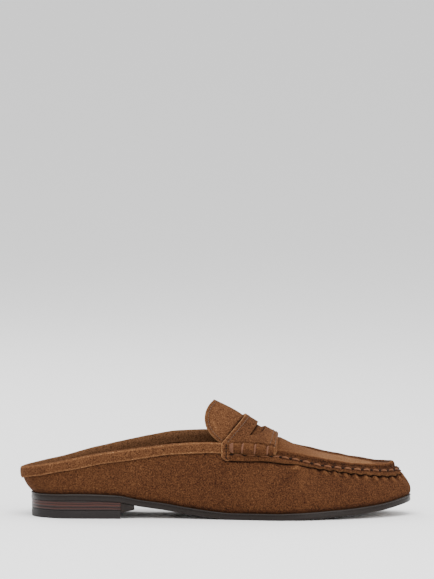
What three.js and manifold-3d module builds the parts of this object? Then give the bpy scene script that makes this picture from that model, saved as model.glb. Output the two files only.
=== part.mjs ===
// Right penny loafer mule: low heel, open heel rim, raised apron and a saddle strap with beef rolls.
// Millimetres. +X points to the toe, +Y to the inner side of the foot, +Z up.
// The origin is the middle of the heel's rest face, on the floor.

import * as THREE from "three";
import { mergeVertices } from "three/addons/utils/BufferGeometryUtils.js";
import Module from "manifold-3d";

const wasm = await Module();
wasm.setup();

// Driving dimensions of the sole
const SOLE_LENGTH = 258;
const BALL_WIDTH = 80;
const SEAT_HEIGHT = 12.2;
const TOE_SPRING = 9.4;
const OUTSOLE_THICKNESS = 4.6;
const EDGE_BEVEL = 0.7;
const EDGE_MARGIN = 1.1;
const EDGE_WAIST = 0.35;

// Driving dimensions of the heel
const HEEL_LENGTH = 61;
const HEEL_HOLLOW = 1.3;
const TOP_LIFT_HEIGHT = 5.6;
const HEEL_INSET = 0.6;
const LEATHER_LIFTS = 3;
const BREAST_LENGTH = 9;
const BREAST_NOSE = 2.7;
const BREAST_DROP = 0.72;
const BREAST_BOW = 0.85;
const BREAST_TAPER = 1;

// Driving dimensions of the upper
const THROAT_HEIGHT = 52;
const COLLAR_OVERHANG = 6;
const TOE_SETBACK = 13;
const WALL = 1.6;
const SWELL = 2.6;
const SWELL_LOW = 0.62;
const LEAN_POWER = 2.05;
const FLARE_POWER = 2.3;
const CLEARANCE = 0.3;

// Insole, collar binding and apron
const INSOLE_THICKNESS = 1.6;
const BINDING_WIDTH = 6.2;
const BINDING_THICKNESS = 0.9;
const BINDING_FOLD = 0.7;
const BINDING_INNER_WIDTH = 6.7;
const FLANGE_DEPTH = 3.6;
const FLANGE_THICKNESS = 1.2;
const RIM_HEIGHT = 5.3;
const RIM_WIDTH = 1.8;
const RIM_SETBACK = 1;
const APRON_THICKNESS = 1.6;
const APRON_SPINE = 14;

// Instep, tongue, strap and rolls
const INSTEP_HEIGHT = 79;
const INSTEP_ARCH = 2;
const TONGUE_THICKNESS = 1.6;
const TONGUE_TUCK = 6;
const STRAP_THICKNESS = 1.7;
const ROLL_LENGTH = 30.5;
const ROLL_HEIGHT = 7.7;
const ROLL_TAPER = 0.87;
const ROLL_DEPTH = 3.4;
const ROLL_TIES = 4;
const TIE_PINCH = 0.24;
const SLOT_WIDTH = 5.2;
const SLOT_HALF_LENGTH = 20;

// Where they lie, measured from the back of the sole
const ROLL_REAR = 134.8;
const FOLD_WIDTH = 5.4;
const STRAP_REAR = 145;
const STRAP_FRONT = 167.2;
const STRAP_RAKE = 1.3;
const SLOT_REAR = 153.4;
const TONGUE_TIP = 124.3;

const HEEL_CENTRE = HEEL_LENGTH / 2;

// Lines of the last, a row for each turn of the outline from the heel's back (0) to the toe's tip (1).
// axis and half are shares of BALL_WIDTH: the middle of the outline and its half width.
const FOOT_LINE = [
  { turn: 0.0, axis: 0.0, half: 0.0 },
  { turn: 0.1, axis: 0.0, half: 0.216 },
  { turn: 0.2, axis: 0.0, half: 0.341 },
  { turn: 0.3, axis: -0.006, half: 0.348 },
  { turn: 0.4, axis: -0.031, half: 0.325 },
  { turn: 0.5, axis: -0.055, half: 0.378 },
  { turn: 0.6, axis: -0.044, half: 0.483 },
  { turn: 0.65, axis: -0.018, half: 0.501 },
  { turn: 0.7, axis: 0.022, half: 0.484 },
  { turn: 0.8, axis: 0.05, half: 0.356 },
  { turn: 0.9, axis: 0.063, half: 0.187 },
  { turn: 1.0, axis: 0.069, half: 0.0 },
];

// Top edge of the upper. axis and half are shares of BALL_WIDTH as above. edge, seam and rise are
// shares of THROAT_HEIGHT: the edge on the outer side, the apron's stitch line, and how much higher the
// edge is on the inner side. rim is the share of RIM_HEIGHT by which the apron's rim stands over the
// stitch line, swell the share of SWELL by which the wall bulges, and vamp is 0 on the quarters and
// 1 on the vamp.
const TOP_LINE = [
  { turn: 0.0, axis: 0.0, half: 0.0, edge: 0.621, seam: 0.8, rise: -0.01, rim: 1, swell: 0.1, vamp: 0 },
  { turn: 0.1, axis: 0.0, half: 0.228, edge: 0.66, seam: 0.8, rise: -0.033, rim: 1, swell: 0.1, vamp: 0 },
  { turn: 0.2, axis: 0.0, half: 0.362, edge: 0.732, seam: 0.8, rise: -0.045, rim: 1, swell: 0.15, vamp: 0 },
  { turn: 0.3, axis: -0.006, half: 0.381, edge: 0.84, seam: 0.8, rise: -0.012, rim: 1, swell: 0.3, vamp: 0 },
  { turn: 0.4, axis: -0.019, half: 0.375, edge: 0.932, seam: 0.82, rise: 0.044, rim: 1, swell: 0.5, vamp: 0.1 },
  { turn: 0.45, axis: -0.027, half: 0.373, edge: 0.976, seam: 0.83, rise: 0.062, rim: 1, swell: 0.65, vamp: 0.25 },
  { turn: 0.5, axis: -0.034, half: 0.372, edge: 0.993, seam: 0.85, rise: 0.06, rim: 1, swell: 0.8, vamp: 0.4 },
  { turn: 0.55, axis: -0.035, half: 0.375, edge: 0.965, seam: 0.839, rise: 0.05, rim: 1, swell: 0.9, vamp: 0.7 },
  { turn: 0.6, axis: -0.03, half: 0.386, edge: 0.933, seam: 0.815, rise: 0.03, rim: 1.05, swell: 1.0, vamp: 1 },
  { turn: 0.63, axis: -0.021, half: 0.396, edge: 0.831, seam: 0.799, rise: 0.0, rim: 1.08, swell: 1.0, vamp: 1 },
  { turn: 0.65, axis: -0.015, half: 0.4, edge: 0.806, seam: 0.777, rise: 0.0, rim: 1.1, swell: 1.0, vamp: 1 },
  { turn: 0.7, axis: 0.006, half: 0.402, edge: 0.742, seam: 0.713, rise: 0.0, rim: 1.04, swell: 1.0, vamp: 1 },
  { turn: 0.75, axis: 0.022, half: 0.37, edge: 0.698, seam: 0.669, rise: 0.0, rim: 0.9, swell: 1.0, vamp: 1 },
  { turn: 0.8, axis: 0.038, half: 0.319, edge: 0.667, seam: 0.638, rise: 0.0, rim: 0.8, swell: 0.9, vamp: 1 },
  { turn: 0.9, axis: 0.056, half: 0.175, edge: 0.625, seam: 0.596, rise: 0.0, rim: 0.9, swell: 0.7, vamp: 1 },
  { turn: 1.0, axis: 0.063, half: 0.0, edge: 0.621, seam: 0.592, rise: 0.0, rim: 1.1, swell: 0.6, vamp: 1 },
];

// Apron's seam at the toe. lap is the share of FLANGE_DEPTH by which the flange hangs below the stitch
// line, and back the share of RIM_SETBACK by which the rim stands behind the upper's edge.
const TOE_SEAM = [
  { turn: 0.8, lap: 1, back: 1 },
  { turn: 0.9, lap: 1, back: 0.1 },
  { turn: 1.0, lap: 0.6, back: -1.5 },
];

// Underside of the outsole. along is a share of SOLE_LENGTH, seat of SEAT_HEIGHT and spring of TOE_SPRING.
const SHANK_LINE = [
  { along: 0.0, seat: 0.95, spring: 0 },
  { along: 0.13, seat: 1.0, spring: 0 },
  { along: 0.224, seat: 0.93, spring: 0 },
  { along: 0.287, seat: 0.68, spring: 0 },
  { along: 0.349, seat: 0.5, spring: 0 },
  { along: 0.413, seat: 0.27, spring: 0 },
  { along: 0.477, seat: 0.09, spring: 0 },
  { along: 0.53, seat: 0, spring: 0 },
  { along: 0.64, seat: 0, spring: 0 },
  { along: 0.7, seat: 0, spring: 0.05 },
  { along: 0.729, seat: 0, spring: 0.09 },
  { along: 0.79, seat: 0, spring: 0.19 },
  { along: 0.857, seat: 0, spring: 0.33 },
  { along: 0.919, seat: 0, spring: 0.52 },
  { along: 0.98, seat: 0, spring: 0.87 },
  { along: 1.0, seat: 0, spring: 1.0 },
];

// Ridge of the instep over the tongue. along is a share of SOLE_LENGTH and height of INSTEP_HEIGHT.
const INSTEP_RIDGE = [
  { along: 0.455, height: 1.038 },
  { along: 0.482, height: 1.0 },
  { along: 0.535, height: 0.914 },
  { along: 0.592, height: 0.79 },
  { along: 0.649, height: 0.688 },
  { along: 0.682, height: 0.648 },
];

// Middle of the apron behind its rim. along is a share of the apron's length, crown of RIM_HEIGHT:
// how far the middle stands above the rim.
const APRON_CROWN = [
  { along: 0.0, crown: 1.18 },
  { along: 0.07, crown: 0.9 },
  { along: 0.13, crown: 0.73 },
  { along: 0.24, crown: 0.5 },
  { along: 0.36, crown: 0.28 },
  { along: 0.5, crown: 0.1 },
  { along: 0.7, crown: -0.1 },
  { along: 1.0, crown: -0.15 },
];

// Smooth curve through one column of a table that never swings past its rows.
function follow(rows, by, column, place) {
  const last = rows.length - 1;
  const at = Math.min(Math.max(place, rows[0][by]), rows[last][by]);
  let index = 0;
  while (index < last - 1 && rows[index + 1][by] <= at) index += 1;
  const step = (i) => rows[i + 1][by] - rows[i][by];
  const slope = (i) => (rows[i + 1][column] - rows[i][column]) / step(i);
  const tangent = (i) => {
    if (i === 0) return slope(0);
    if (i === last) return slope(last - 1);
    const before = slope(i - 1);
    const after = slope(i);
    return before * after <= 0 ? 0 : (2 * before * after) / (before + after);
  };
  const width = step(index);
  const t = (at - rows[index][by]) / width;
  const rise = rows[index + 1][column] - rows[index][column];
  const start = tangent(index) * width;
  const end = tangent(index + 1) * width;
  const bend = 3 * rise - 2 * start - end;
  const settle = start + end - 2 * rise;
  return rows[index][column] + t * (start + t * (bend + t * settle));
}

const mix = (a, b, share) => a + (b - a) * share;
const travel = (turn) => (1 - Math.cos(Math.PI * turn)) / 2;
const turnOf = (share) => Math.acos(1 - 2 * Math.min(Math.max(share, 0), 1)) / Math.PI;
const sideOf = (turn) => (turn <= 1 ? -1 : 1);
const halfTurn = (turn) => (turn <= 1 ? turn : 2 - turn);
const wrapTurn = (turn) => (turn + 2) % 2;

// Underside and top of the outsole at a distance from its back
function shankHeight(along) {
  const share = along / SOLE_LENGTH;
  const seat = follow(SHANK_LINE, "along", "seat", share);
  return seat * SEAT_HEIGHT + follow(SHANK_LINE, "along", "spring", share) * TOE_SPRING;
}

const treadHeight = (along) => shankHeight(along) + OUTSOLE_THICKNESS;

// Plan points of the foot line, where the upper meets the outsole, and of the upper's top edge
const FOOT_BACK = EDGE_MARGIN;
const FOOT_FRONT = SOLE_LENGTH - EDGE_MARGIN;
const TOP_BACK = -COLLAR_OVERHANG;
const TOP_FRONT = SOLE_LENGTH - TOE_SETBACK;

function footPlan(turn) {
  const v = halfTurn(turn);
  const half = follow(FOOT_LINE, "turn", "half", v) * BALL_WIDTH;
  const axis = follow(FOOT_LINE, "turn", "axis", v) * BALL_WIDTH;
  return new THREE.Vector2(mix(FOOT_BACK, FOOT_FRONT, travel(v)), axis + sideOf(turn) * half);
}

function topPlan(turn) {
  const v = halfTurn(turn);
  const half = follow(TOP_LINE, "turn", "half", v) * BALL_WIDTH;
  const axis = follow(TOP_LINE, "turn", "axis", v) * BALL_WIDTH;
  return new THREE.Vector2(mix(TOP_BACK, TOP_FRONT, travel(v)), axis + sideOf(turn) * half);
}

// Turn at which the top edge passes a distance from the sole's back, on the outer or inner side
function turnAlong(along, side) {
  const turn = turnOf((along - TOP_BACK) / (TOP_FRONT - TOP_BACK));
  return side < 0 ? turn : 2 - turn;
}

// Unit vector that points out of the foot line in plan
function outward(turn) {
  const near = 0.004;
  const along = footPlan(wrapTurn(turn + near)).sub(footPlan(wrapTurn(turn - near))).normalize();
  return new THREE.Vector2(along.y, -along.x);
}

function edgeHeight(turn) {
  const v = halfTurn(turn);
  const inner = sideOf(turn) > 0 ? follow(TOP_LINE, "turn", "rise", v) : 0;
  return (follow(TOP_LINE, "turn", "edge", v) + inner) * THROAT_HEIGHT;
}

const seamHeight = (turn) => follow(TOP_LINE, "turn", "seam", halfTurn(turn)) * THROAT_HEIGHT;
const flangeDepth = (turn) => follow(TOE_SEAM, "turn", "lap", halfTurn(turn)) * FLANGE_DEPTH;
const rimHeight = (turn) => seamHeight(turn) + follow(TOP_LINE, "turn", "rim", halfTurn(turn)) * RIM_HEIGHT;

// Outer face of the upper: level runs from 0 at the outsole to 1 at the top edge, and past it.
function lastFace(turn, level) {
  const v = halfTurn(turn);
  const foot = footPlan(turn);
  const top = topPlan(turn);
  const base = treadHeight(foot.x) + CLEARANCE;
  const height = mix(base, edgeHeight(turn), level);
  const inside = Math.min(level, 1);
  const vamp = follow(TOP_LINE, "turn", "vamp", v);
  const flare = 1 - (1 - inside) ** FLARE_POWER;
  const past = Math.max(level - 1, 0) * vamp;
  const lean = mix(flare, inside ** LEAN_POWER, vamp) + past;
  const swell = follow(TOP_LINE, "turn", "swell", v) * SWELL * Math.sin(Math.PI * inside ** SWELL_LOW);
  const out = outward(turn);
  const x = mix(foot.x, top.x, lean) + out.x * swell;
  const y = mix(foot.y, top.y, lean) + out.y * swell;
  return new THREE.Vector3(x - HEEL_CENTRE, y, height);
}

// Directions of the upper's face at a point: out of it, and up along it
function faceFrame(turn, level) {
  const nearTurn = 0.003;
  const nearLevel = 0.01;
  const along = lastFace(wrapTurn(turn + nearTurn), level).sub(lastFace(wrapTurn(turn - nearTurn), level));
  const up = lastFace(turn, Math.min(level + nearLevel, 1));
  up.sub(lastFace(turn, Math.min(level, 1) - nearLevel)).normalize();
  const out = new THREE.Vector3().crossVectors(along, up).normalize();
  return { out, up };
}

// Point at a distance out of the upper's face, and a distance further up along it
function offFace(turn, level, outwards = 0, upwards = 0) {
  const { out, up } = faceFrame(turn, level);
  return lastFace(turn, level).addScaledVector(out, outwards).addScaledVector(up, upwards);
}

// Level of the upper's face at a height
function levelAt(turn, height) {
  const base = treadHeight(footPlan(turn).x) + CLEARANCE;
  return (height - base) / (edgeHeight(turn) - base);
}

// Triangles of one closed piece, gathered face by face
class Skin {
  constructor() {
    this.corners = [];
  }

  triangle(a, b, c) {
    this.corners.push(a, b, c);
  }

  quad(a, b, c, d) {
    this.triangle(a, b, c);
    this.triangle(a, c, d);
  }

  // Faces between two rows of points of equal length
  strip(first, second) {
    for (let i = 0; i + 1 < first.length; i += 1) {
      this.quad(first[i], second[i], second[i + 1], first[i + 1]);
    }
  }

  // Faces between rows of points, the last row joined to the first when closed
  sheet(rows, closed = false) {
    const count = closed ? rows.length : rows.length - 1;
    for (let i = 0; i < count; i += 1) this.strip(rows[i], rows[(i + 1) % rows.length]);
  }

  geometry() {
    const flat = this.corners.flatMap((corner) => [corner.x, corner.y, corner.z]);
    const loose = new THREE.BufferGeometry();
    loose.setAttribute("position", new THREE.Float32BufferAttribute(flat, 3));
    return tidyGeometry(mergeVertices(loose, 1e-4));
  }
}

// Drops faces without area and turns a body inside out where its faces point inwards
function tidyGeometry(merged) {
  const position = merged.getAttribute("position");
  const corner = (i) => new THREE.Vector3().fromBufferAttribute(position, i);
  const index = merged.getIndex().array;
  const kept = [];
  let volume = 0;
  for (let i = 0; i < index.length; i += 3) {
    const [a, b, c] = [index[i], index[i + 1], index[i + 2]];
    if (a === b || b === c || c === a) continue;
    kept.push([a, b, c]);
    volume += corner(a).dot(corner(b).cross(corner(c)));
  }
  const turned = volume < 0 ? kept.map(([a, b, c]) => [a, c, b]) : kept;
  merged.setIndex(turned.flat());
  return merged;
}

function range(count, from, to) {
  return Array.from({ length: count + 1 }, (_, i) => mix(from, to, i / count));
}

function material(color, roughness) {
  return new THREE.MeshStandardMaterial({ color, roughness });
}

const SUEDE = material("#6b4428", 0.95);
const SUEDE_LIGHT = material("#7e5433", 0.95);
const SUEDE_DARK = material("#4a2e1c", 0.95);
const EDGE_LACQUER = material("#2f2624", 0.35);
const STACK_LEATHER = material("#54403a", 0.45);
const LIFT_RUBBER = material("#35302f", 0.5);

// Outline of a flat piece of the sole: points round it at a distance inside the outsole's edge
function soleOutline(inset, turns) {
  return turns.map((turn) => {
    const out = outward(turn);
    return footPlan(turn).addScaledVector(out, EDGE_MARGIN - inset);
  });
}

const SOLE_TURNS = range(72, 0, 2).slice(0, -1);

// Slab between an underside and a top, with the same outline points at every level
function slab(levels, turns) {
  const rings = levels.map(({ inset, height }) =>
    soleOutline(inset, turns).map((p) => new THREE.Vector3(p.x - HEEL_CENTRE, p.y, height(p.x))));
  const skin = new Skin();
  for (let i = 0; i + 1 < rings.length; i += 1) {
    skin.strip([...rings[i + 1], rings[i + 1][0]], [...rings[i], rings[i][0]]);
  }
  const half = turns.length / 2;
  for (const [ring, up] of [[rings[0], false], [rings[rings.length - 1], true]]) {
    const outer = ring.slice(0, half + 1);
    const inner = [ring[0], ...ring.slice(half).reverse()];
    if (up) skin.strip(inner, outer);
    else skin.strip(outer, inner);
  }
  return skin.geometry();
}

function outsole() {
  return slab([
    { inset: EDGE_BEVEL, height: (x) => shankHeight(x) },
    { inset: EDGE_WAIST / 3, height: (x) => shankHeight(x) + EDGE_BEVEL },
    { inset: EDGE_WAIST, height: (x) => treadHeight(x) - 2 * EDGE_BEVEL },
    { inset: 0, height: (x) => treadHeight(x) - EDGE_BEVEL },
    { inset: EDGE_BEVEL / 2, height: (x) => treadHeight(x) },
  ], SOLE_TURNS);
}

function insole() {
  const inset = EDGE_MARGIN + WALL + 2 * CLEARANCE;
  const low = (x) => treadHeight(x) + CLEARANCE;
  return slab([
    { inset: inset + CLEARANCE, height: low },
    { inset, height: (x) => low(x) + INSOLE_THICKNESS / 2 },
    { inset: inset + 2 * CLEARANCE, height: (x) => low(x) + INSOLE_THICKNESS },
  ], SOLE_TURNS);
}

// Closed plate between two nets of points, the second on the outer side of the first
function plate(lows, highs) {
  const rim = (rows) => [
    ...rows.map((row) => row[0]),
    ...rows[rows.length - 1].slice(1, -1),
    ...rows.map((row) => row[row.length - 1]).reverse(),
    ...rows[0].slice(0, -1).reverse(),
  ];
  const skin = new Skin();
  skin.sheet(highs);
  skin.sheet(lows.map((row) => [...row].reverse()));
  skin.strip(rim(highs), rim(lows));
  return skin.geometry();
}

// Plate of a net whose points hold their place in plan and the heights of their low and high side
function layer(net) {
  const side = (key) => net.map((row) => row.map((p) => new THREE.Vector3(p.x - HEEL_CENTRE, p.y, p[key])));
  return plate(side("low"), side("high"));
}

// Outline of the heel at a distance from the sole's back: both edges, inside the outsole's edge
function heelEdges(along, inset) {
  const turn = turnOf((along - FOOT_BACK) / (FOOT_FRONT - FOOT_BACK));
  return soleOutline(inset, [turn, (2 - turn) % 2]);
}

const HEEL_ROWS = 12;
const HEEL_COLUMNS = 4;
const BREAST_ROWS = 5;

// One layer of the heel: the sole's outline round the back and a slightly hollow front
function heelLayer(low, high, inset, front) {
  const last = turnOf((front - FOOT_BACK) / (FOOT_FRONT - FOOT_BACK));
  const net = range(HEEL_ROWS, 0, last).map((turn) => {
    const [outer, inner] = soleOutline(inset, [turn, (2 - turn) % 2]);
    return range(HEEL_COLUMNS, 0, 1).map((across) => {
      const hollow = Math.sin(Math.PI * across) * HEEL_HOLLOW * (turn / last) ** 4;
      const x = mix(outer.x, inner.x, across) - hollow;
      return { x, y: mix(outer.y, inner.y, across), low: low(x), high: high(x) };
    });
  });
  return layer(net);
}

const seatUnder = (x) => shankHeight(x) - CLEARANCE;

function heelTopLift() {
  return heelLayer(() => 0, () => TOP_LIFT_HEIGHT, HEEL_INSET, HEEL_LENGTH);
}

function heelLift(number) {
  const joint = TOP_LIFT_HEIGHT + CLEARANCE;
  const low = (x) => mix(joint, seatUnder(x) + CLEARANCE, number / LEATHER_LIFTS);
  const high = (x) => mix(joint, seatUnder(x) + CLEARANCE, (number + 1) / LEATHER_LIFTS) - CLEARANCE;
  return heelLayer(low, high, HEEL_INSET, HEEL_LENGTH);
}

// Wedge in front of the stack: its top follows the shank and its nose is rounded
function heelBreast() {
  const back = HEEL_LENGTH + CLEARANCE;
  const nose = back + BREAST_LENGTH;
  const noseLow = seatUnder(nose) - BREAST_NOSE;
  const backLow = TOP_LIFT_HEIGHT * BREAST_DROP;
  const net = range(BREAST_ROWS, 0, 1).map((share) => {
    const [outer, inner] = heelEdges(mix(back, nose, share), HEEL_INSET + BREAST_TAPER * share ** 4);
    return range(2 * HEEL_COLUMNS, 0, 1).map((across) => {
      const x = mix(outer.x, inner.x, across) - Math.sin(Math.PI * across) * HEEL_HOLLOW;
      const low = mix(backLow, noseLow, share ** BREAST_BOW);
      return { x, y: mix(outer.y, inner.y, across), low, high: seatUnder(x) };
    });
  });
  return layer(net);
}

// Hollow wall of the quarters and vamp, open above and below
const WALL_STEPS = 34;
const SIDE_FRONT = STRAP_FRONT - STRAP_RAKE;
const LANDMARKS = [
  ROLL_REAR - FOLD_WIDTH - CLEARANCE,
  ROLL_REAR + CLEARANCE,
  mix(ROLL_REAR, SIDE_FRONT, 0.5),
  mix(ROLL_REAR, SIDE_FRONT, 0.8),
  SIDE_FRONT + 3 * CLEARANCE,
].map((along) => turnAlong(along, -1));
const WALL_TURNS = wallStations();

// Turns at which the wall has a section: evenly round it, and at each landmark on both sides
function wallStations() {
  const marks = [...LANDMARKS, ...LANDMARKS.map((turn) => 2 - turn)];
  const apart = 0.4 / WALL_STEPS;
  const even = range(2 * WALL_STEPS, 0, 2).slice(0, -1);
  const kept = even.filter((turn) => marks.every((mark) => Math.abs(mark - turn) > apart));
  return [...kept, ...marks].sort((a, b) => a - b);
}

const WALL_LEVELS = [0, 0.1, 0.25, 0.42, 0.6, 0.76, 0.89, 1];
const LOWEST_LEVEL = 0.02;

function upper() {
  const profiles = WALL_TURNS.map((turn) => {
    const outer = WALL_LEVELS.map((level) => lastFace(turn, level));
    const inner = WALL_LEVELS.map((level) => {
      const point = offFace(turn, Math.max(level, LOWEST_LEVEL), -WALL);
      point.z = lastFace(turn, level).z;
      return point;
    });
    return [...outer, ...inner.reverse()];
  });
  const skin = new Skin();
  skin.sheet(profiles.map((profile) => [...profile, profile[0]]), true);
  return skin.geometry();
}

// Turns of the wall's own sections between two turns, with both ends, so that overlays lie parallel to it
function wallTurns(from, to) {
  const all = [...WALL_TURNS.map((turn) => turn - 2), ...WALL_TURNS];
  const near = 0.001;
  return [from, ...all.filter((turn) => turn > from + near && turn < to - near), to];
}

// Point beside the upper's face at a height, on a straight line up past the top edge where it is above it
function beside(turn, height, outwards) {
  const edge = edgeHeight(turn);
  if (height <= edge) return offFace(turn, levelAt(turn, height), outwards);
  const { up } = faceFrame(turn, 1);
  return offFace(turn, 1, outwards).addScaledVector(up, (height - edge) / up.z);
}

// Solid between an outer path and an inner path of equal length, carried through rows
function band(outers, inners) {
  const skin = new Skin();
  const rows = outers.map((outer, i) => [...outer, ...[...inners[i]].reverse(), outer[0]]);
  skin.sheet(rows);
  skin.strip(inners[0], outers[0]);
  skin.strip(outers[outers.length - 1], inners[inners.length - 1]);
  return skin.geometry();
}

// Folded suede band over the collar's edge, from one fold of the strap round the heel to the other
function collarBinding() {
  const end = turnAlong(ROLL_REAR - FOLD_WIDTH - CLEARANCE, -1);
  const turns = wallTurns(-end, end);
  const outside = CLEARANCE + BINDING_THICKNESS;
  const inside = WALL + outside;
  const row = (steps) => turns.map((turn) => steps.map(([down, out, up]) => {
    const at = wrapTurn(turn);
    const level = levelAt(at, edgeHeight(at) - down);
    return offFace(at, level, out, up);
  }));
  const outers = row([
    [BINDING_WIDTH, outside, 0],
    [BINDING_WIDTH / 2, outside + CLEARANCE / 2, 0],
    [0, outside, 0],
    [0, outside - BINDING_THICKNESS / 2, CLEARANCE + BINDING_THICKNESS * BINDING_FOLD],
    [0, -WALL / 2, outside],
    [0, BINDING_THICKNESS / 2 - inside, CLEARANCE + BINDING_THICKNESS * BINDING_FOLD],
    [0, -inside, 0],
    [BINDING_INNER_WIDTH, -inside, 0],
  ]);
  const inners = row([
    [BINDING_WIDTH, CLEARANCE, 0],
    [BINDING_WIDTH / 2, CLEARANCE, 0],
    [0, CLEARANCE, 0],
    [0, CLEARANCE, CLEARANCE],
    [0, -WALL / 2, CLEARANCE],
    [0, -WALL - CLEARANCE, CLEARANCE],
    [0, -WALL - CLEARANCE, 0],
    [BINDING_INNER_WIDTH, -WALL - CLEARANCE, 0],
  ]);
  return band(outers, inners);
}

// Point of the apron: at a height over the seam or the rim, a distance inside the top edge in plan
function overEdge(turn, inwards, height) {
  const edge = lastFace(turn, 1);
  const out = outward(turn);
  return new THREE.Vector3(edge.x - out.x * inwards, edge.y - out.y * inwards, height);
}

// Middle line of the apron, towards which its top runs in from the rim
const APRON_BACK = STRAP_FRONT + CLEARANCE;
const SPINE_FRONT = TOP_FRONT - APRON_SPINE;

function spinePoint(turn) {
  const along = lastFace(turn, 1).x + HEEL_CENTRE;
  const share = Math.min(Math.max((along - SIDE_FRONT) / (SPINE_FRONT - SIDE_FRONT), 0), 1);
  const x = mix(APRON_BACK, SPINE_FRONT, share);
  const level = turnAlong(x, -1);
  const y = (topPlan(level).y + topPlan(2 - level).y) / 2;
  const crown = follow(APRON_CROWN, "along", "crown", share) * RIM_HEIGHT;
  return new THREE.Vector3(x - HEEL_CENTRE, y, rimHeight(level) + crown);
}

// Section across the apron's rim. inwards is a share of RIM_WIDTH, drop of RIM_HEIGHT below the rim's top.
const RIM_SECTION = [
  { inwards: 0, drop: 0.17 },
  { inwards: 0.5, drop: 0 },
  { inwards: 1.4, drop: 0.06 },
  { inwards: 2.4, drop: 0.15 },
];
const APRON_STEPS = 3;

// Plug over the forefoot: a flange lapped on the vamp, a low wall, a rim and the top inside it.
// Behind the apron's top only the flange runs on, below the rolls.
function apron() {
  const rear = turnAlong(ROLL_REAR + CLEARANCE, -1);
  const front = turnAlong(SIDE_FRONT + 3 * CLEARANCE, -1);
  const flangeTurns = wallTurns(rear, front);
  const topTurns = wallTurns(front, 2 - front);
  const lap = CLEARANCE + FLANGE_THICKNESS;

  const flangePairs = (turn) => {
    const seam = seamHeight(turn);
    return {
      outer: [
        beside(turn, seam - flangeDepth(turn), lap),
        beside(turn, seam, lap + CLEARANCE / 2),
        beside(turn, seam + 2 * CLEARANCE, lap - CLEARANCE),
      ],
      inner: [
        beside(turn, seam - flangeDepth(turn), CLEARANCE),
        beside(turn, seam, CLEARANCE),
        beside(turn, seam + 2 * CLEARANCE, CLEARANCE),
      ],
    };
  };

  const topPairs = (turn) => {
    const rim = rimHeight(turn);
    const spine = spinePoint(turn);
    const edge = edgeHeight(turn);
    const setback = follow(TOE_SEAM, "turn", "back", halfTurn(turn)) * RIM_SETBACK;
    const section = RIM_SECTION.map(({ inwards, drop }) =>
      overEdge(turn, setback + inwards * RIM_WIDTH, rim - drop * RIM_HEIGHT));
    const shoulder = section[section.length - 1];
    const toSpine = (share) => {
      const point = shoulder.clone().lerp(spine, share);
      point.z = mix(shoulder.z, spine.z, Math.sin((Math.PI * share) / 2));
      return point;
    };
    const outer = [...section, ...range(APRON_STEPS, 0, 1).slice(1).map(toSpine)];
    const under = (point) => new THREE.Vector3(point.x, point.y, point.z - APRON_THICKNESS);
    const inner = [
      overEdge(turn, 0, edge + CLEARANCE),
      overEdge(turn, WALL + CLEARANCE, edge + 2 * CLEARANCE),
      ...outer.slice(2).map(under),
    ];
    return { outer, inner };
  };

  const skin = new Skin();
  const wide = (turn) => {
    const flange = flangePairs(turn);
    const top = topPairs(turn);
    return { outer: [...flange.outer, ...top.outer], inner: [...flange.inner, ...top.inner] };
  };
  const fronts = topTurns.map(wide);
  skin.sheet(fronts.map((row) => row.outer));
  skin.sheet(fronts.map((row) => [...row.inner].reverse()));
  skin.sheet(fronts.map((row) => [row.inner[0], row.outer[0]]));
  for (const side of [-1, 1]) {
    const turns = side < 0 ? flangeTurns : flangeTurns.map((turn) => 2 - turn).reverse();
    const rows = turns.map(flangePairs);
    skin.sheet(rows.map((row) => row.outer));
    skin.sheet(rows.map((row) => [...row.inner].reverse()));
    skin.sheet(rows.map((row) => [row.inner[0], row.outer[0]]));
    skin.sheet(rows.map((row) => [row.outer[2], row.inner[2]]));
    const end = side < 0 ? rows[0] : rows[rows.length - 1];
    if (side < 0) skin.strip(end.inner, end.outer);
    else skin.strip(end.outer, end.inner);
  }
  const first = fronts[0];
  const last = fronts[fronts.length - 1];
  skin.strip(first.inner.slice(2), first.outer.slice(2));
  skin.strip(last.outer.slice(2), last.inner.slice(2));
  return skin.geometry();
}

// Cross line of the instep between two points at the wall and a ridge point: across runs from -1 to 1.
function archPoint(outer, inner, ridge, across) {
  const side = across < 0 ? outer : inner;
  const share = Math.abs(across);
  const drop = share ** INSTEP_ARCH;
  return new THREE.Vector3(mix(ridge.x, side.x, drop), mix(ridge.y, side.y, share), mix(ridge.z, side.z, drop));
}

function ridgePoint(along, lift) {
  const height = follow(INSTEP_RIDGE, "along", "height", along / SOLE_LENGTH) * INSTEP_HEIGHT;
  const turn = turnAlong(along, -1);
  const y = (topPlan(turn).y + topPlan(2 - turn).y) / 2;
  return new THREE.Vector3(along - HEEL_CENTRE, y, height + lift);
}

const BACK_GUARD = 0.02;
const ACROSS_GUARD = 0.03;

// Direction out of a surface given by a function of two values
function normalOf(surface, a, b) {
  const near = 0.01;
  const along = surface(a + near, b).sub(surface(a - near, b));
  const across = surface(a, b + near).sub(surface(a, b - near));
  return new THREE.Vector3().crossVectors(along, across).normalize();
}

// The same direction for a place on or near the edge of a surface, taken a little inside it
function edgeNormal(surface, back, across) {
  const insideBack = Math.min(Math.max(back, BACK_GUARD), 1 - BACK_GUARD);
  const insideAcross = Math.min(Math.max(across, ACROSS_GUARD - 1), 1 - ACROSS_GUARD);
  return normalOf(surface, insideBack, insideAcross);
}

// Where the cross line through a place on the ridge meets the wall: the lines lean back as they go down
function sideBelow(along) {
  return mix(ROLL_REAR - FOLD_WIDTH, SIDE_FRONT, (along - STRAP_REAR) / (STRAP_FRONT - STRAP_REAR));
}

// Point of the instep over a place on the ridge, its sides a distance out of the wall's face
function instepPoint(along, across, outwards, lift) {
  const outer = turnAlong(sideBelow(along), -1);
  const place = (turn) => beside(turn, edgeHeight(turn), outwards);
  return archPoint(place(outer), place(2 - outer), ridgePoint(along, lift), across);
}

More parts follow.
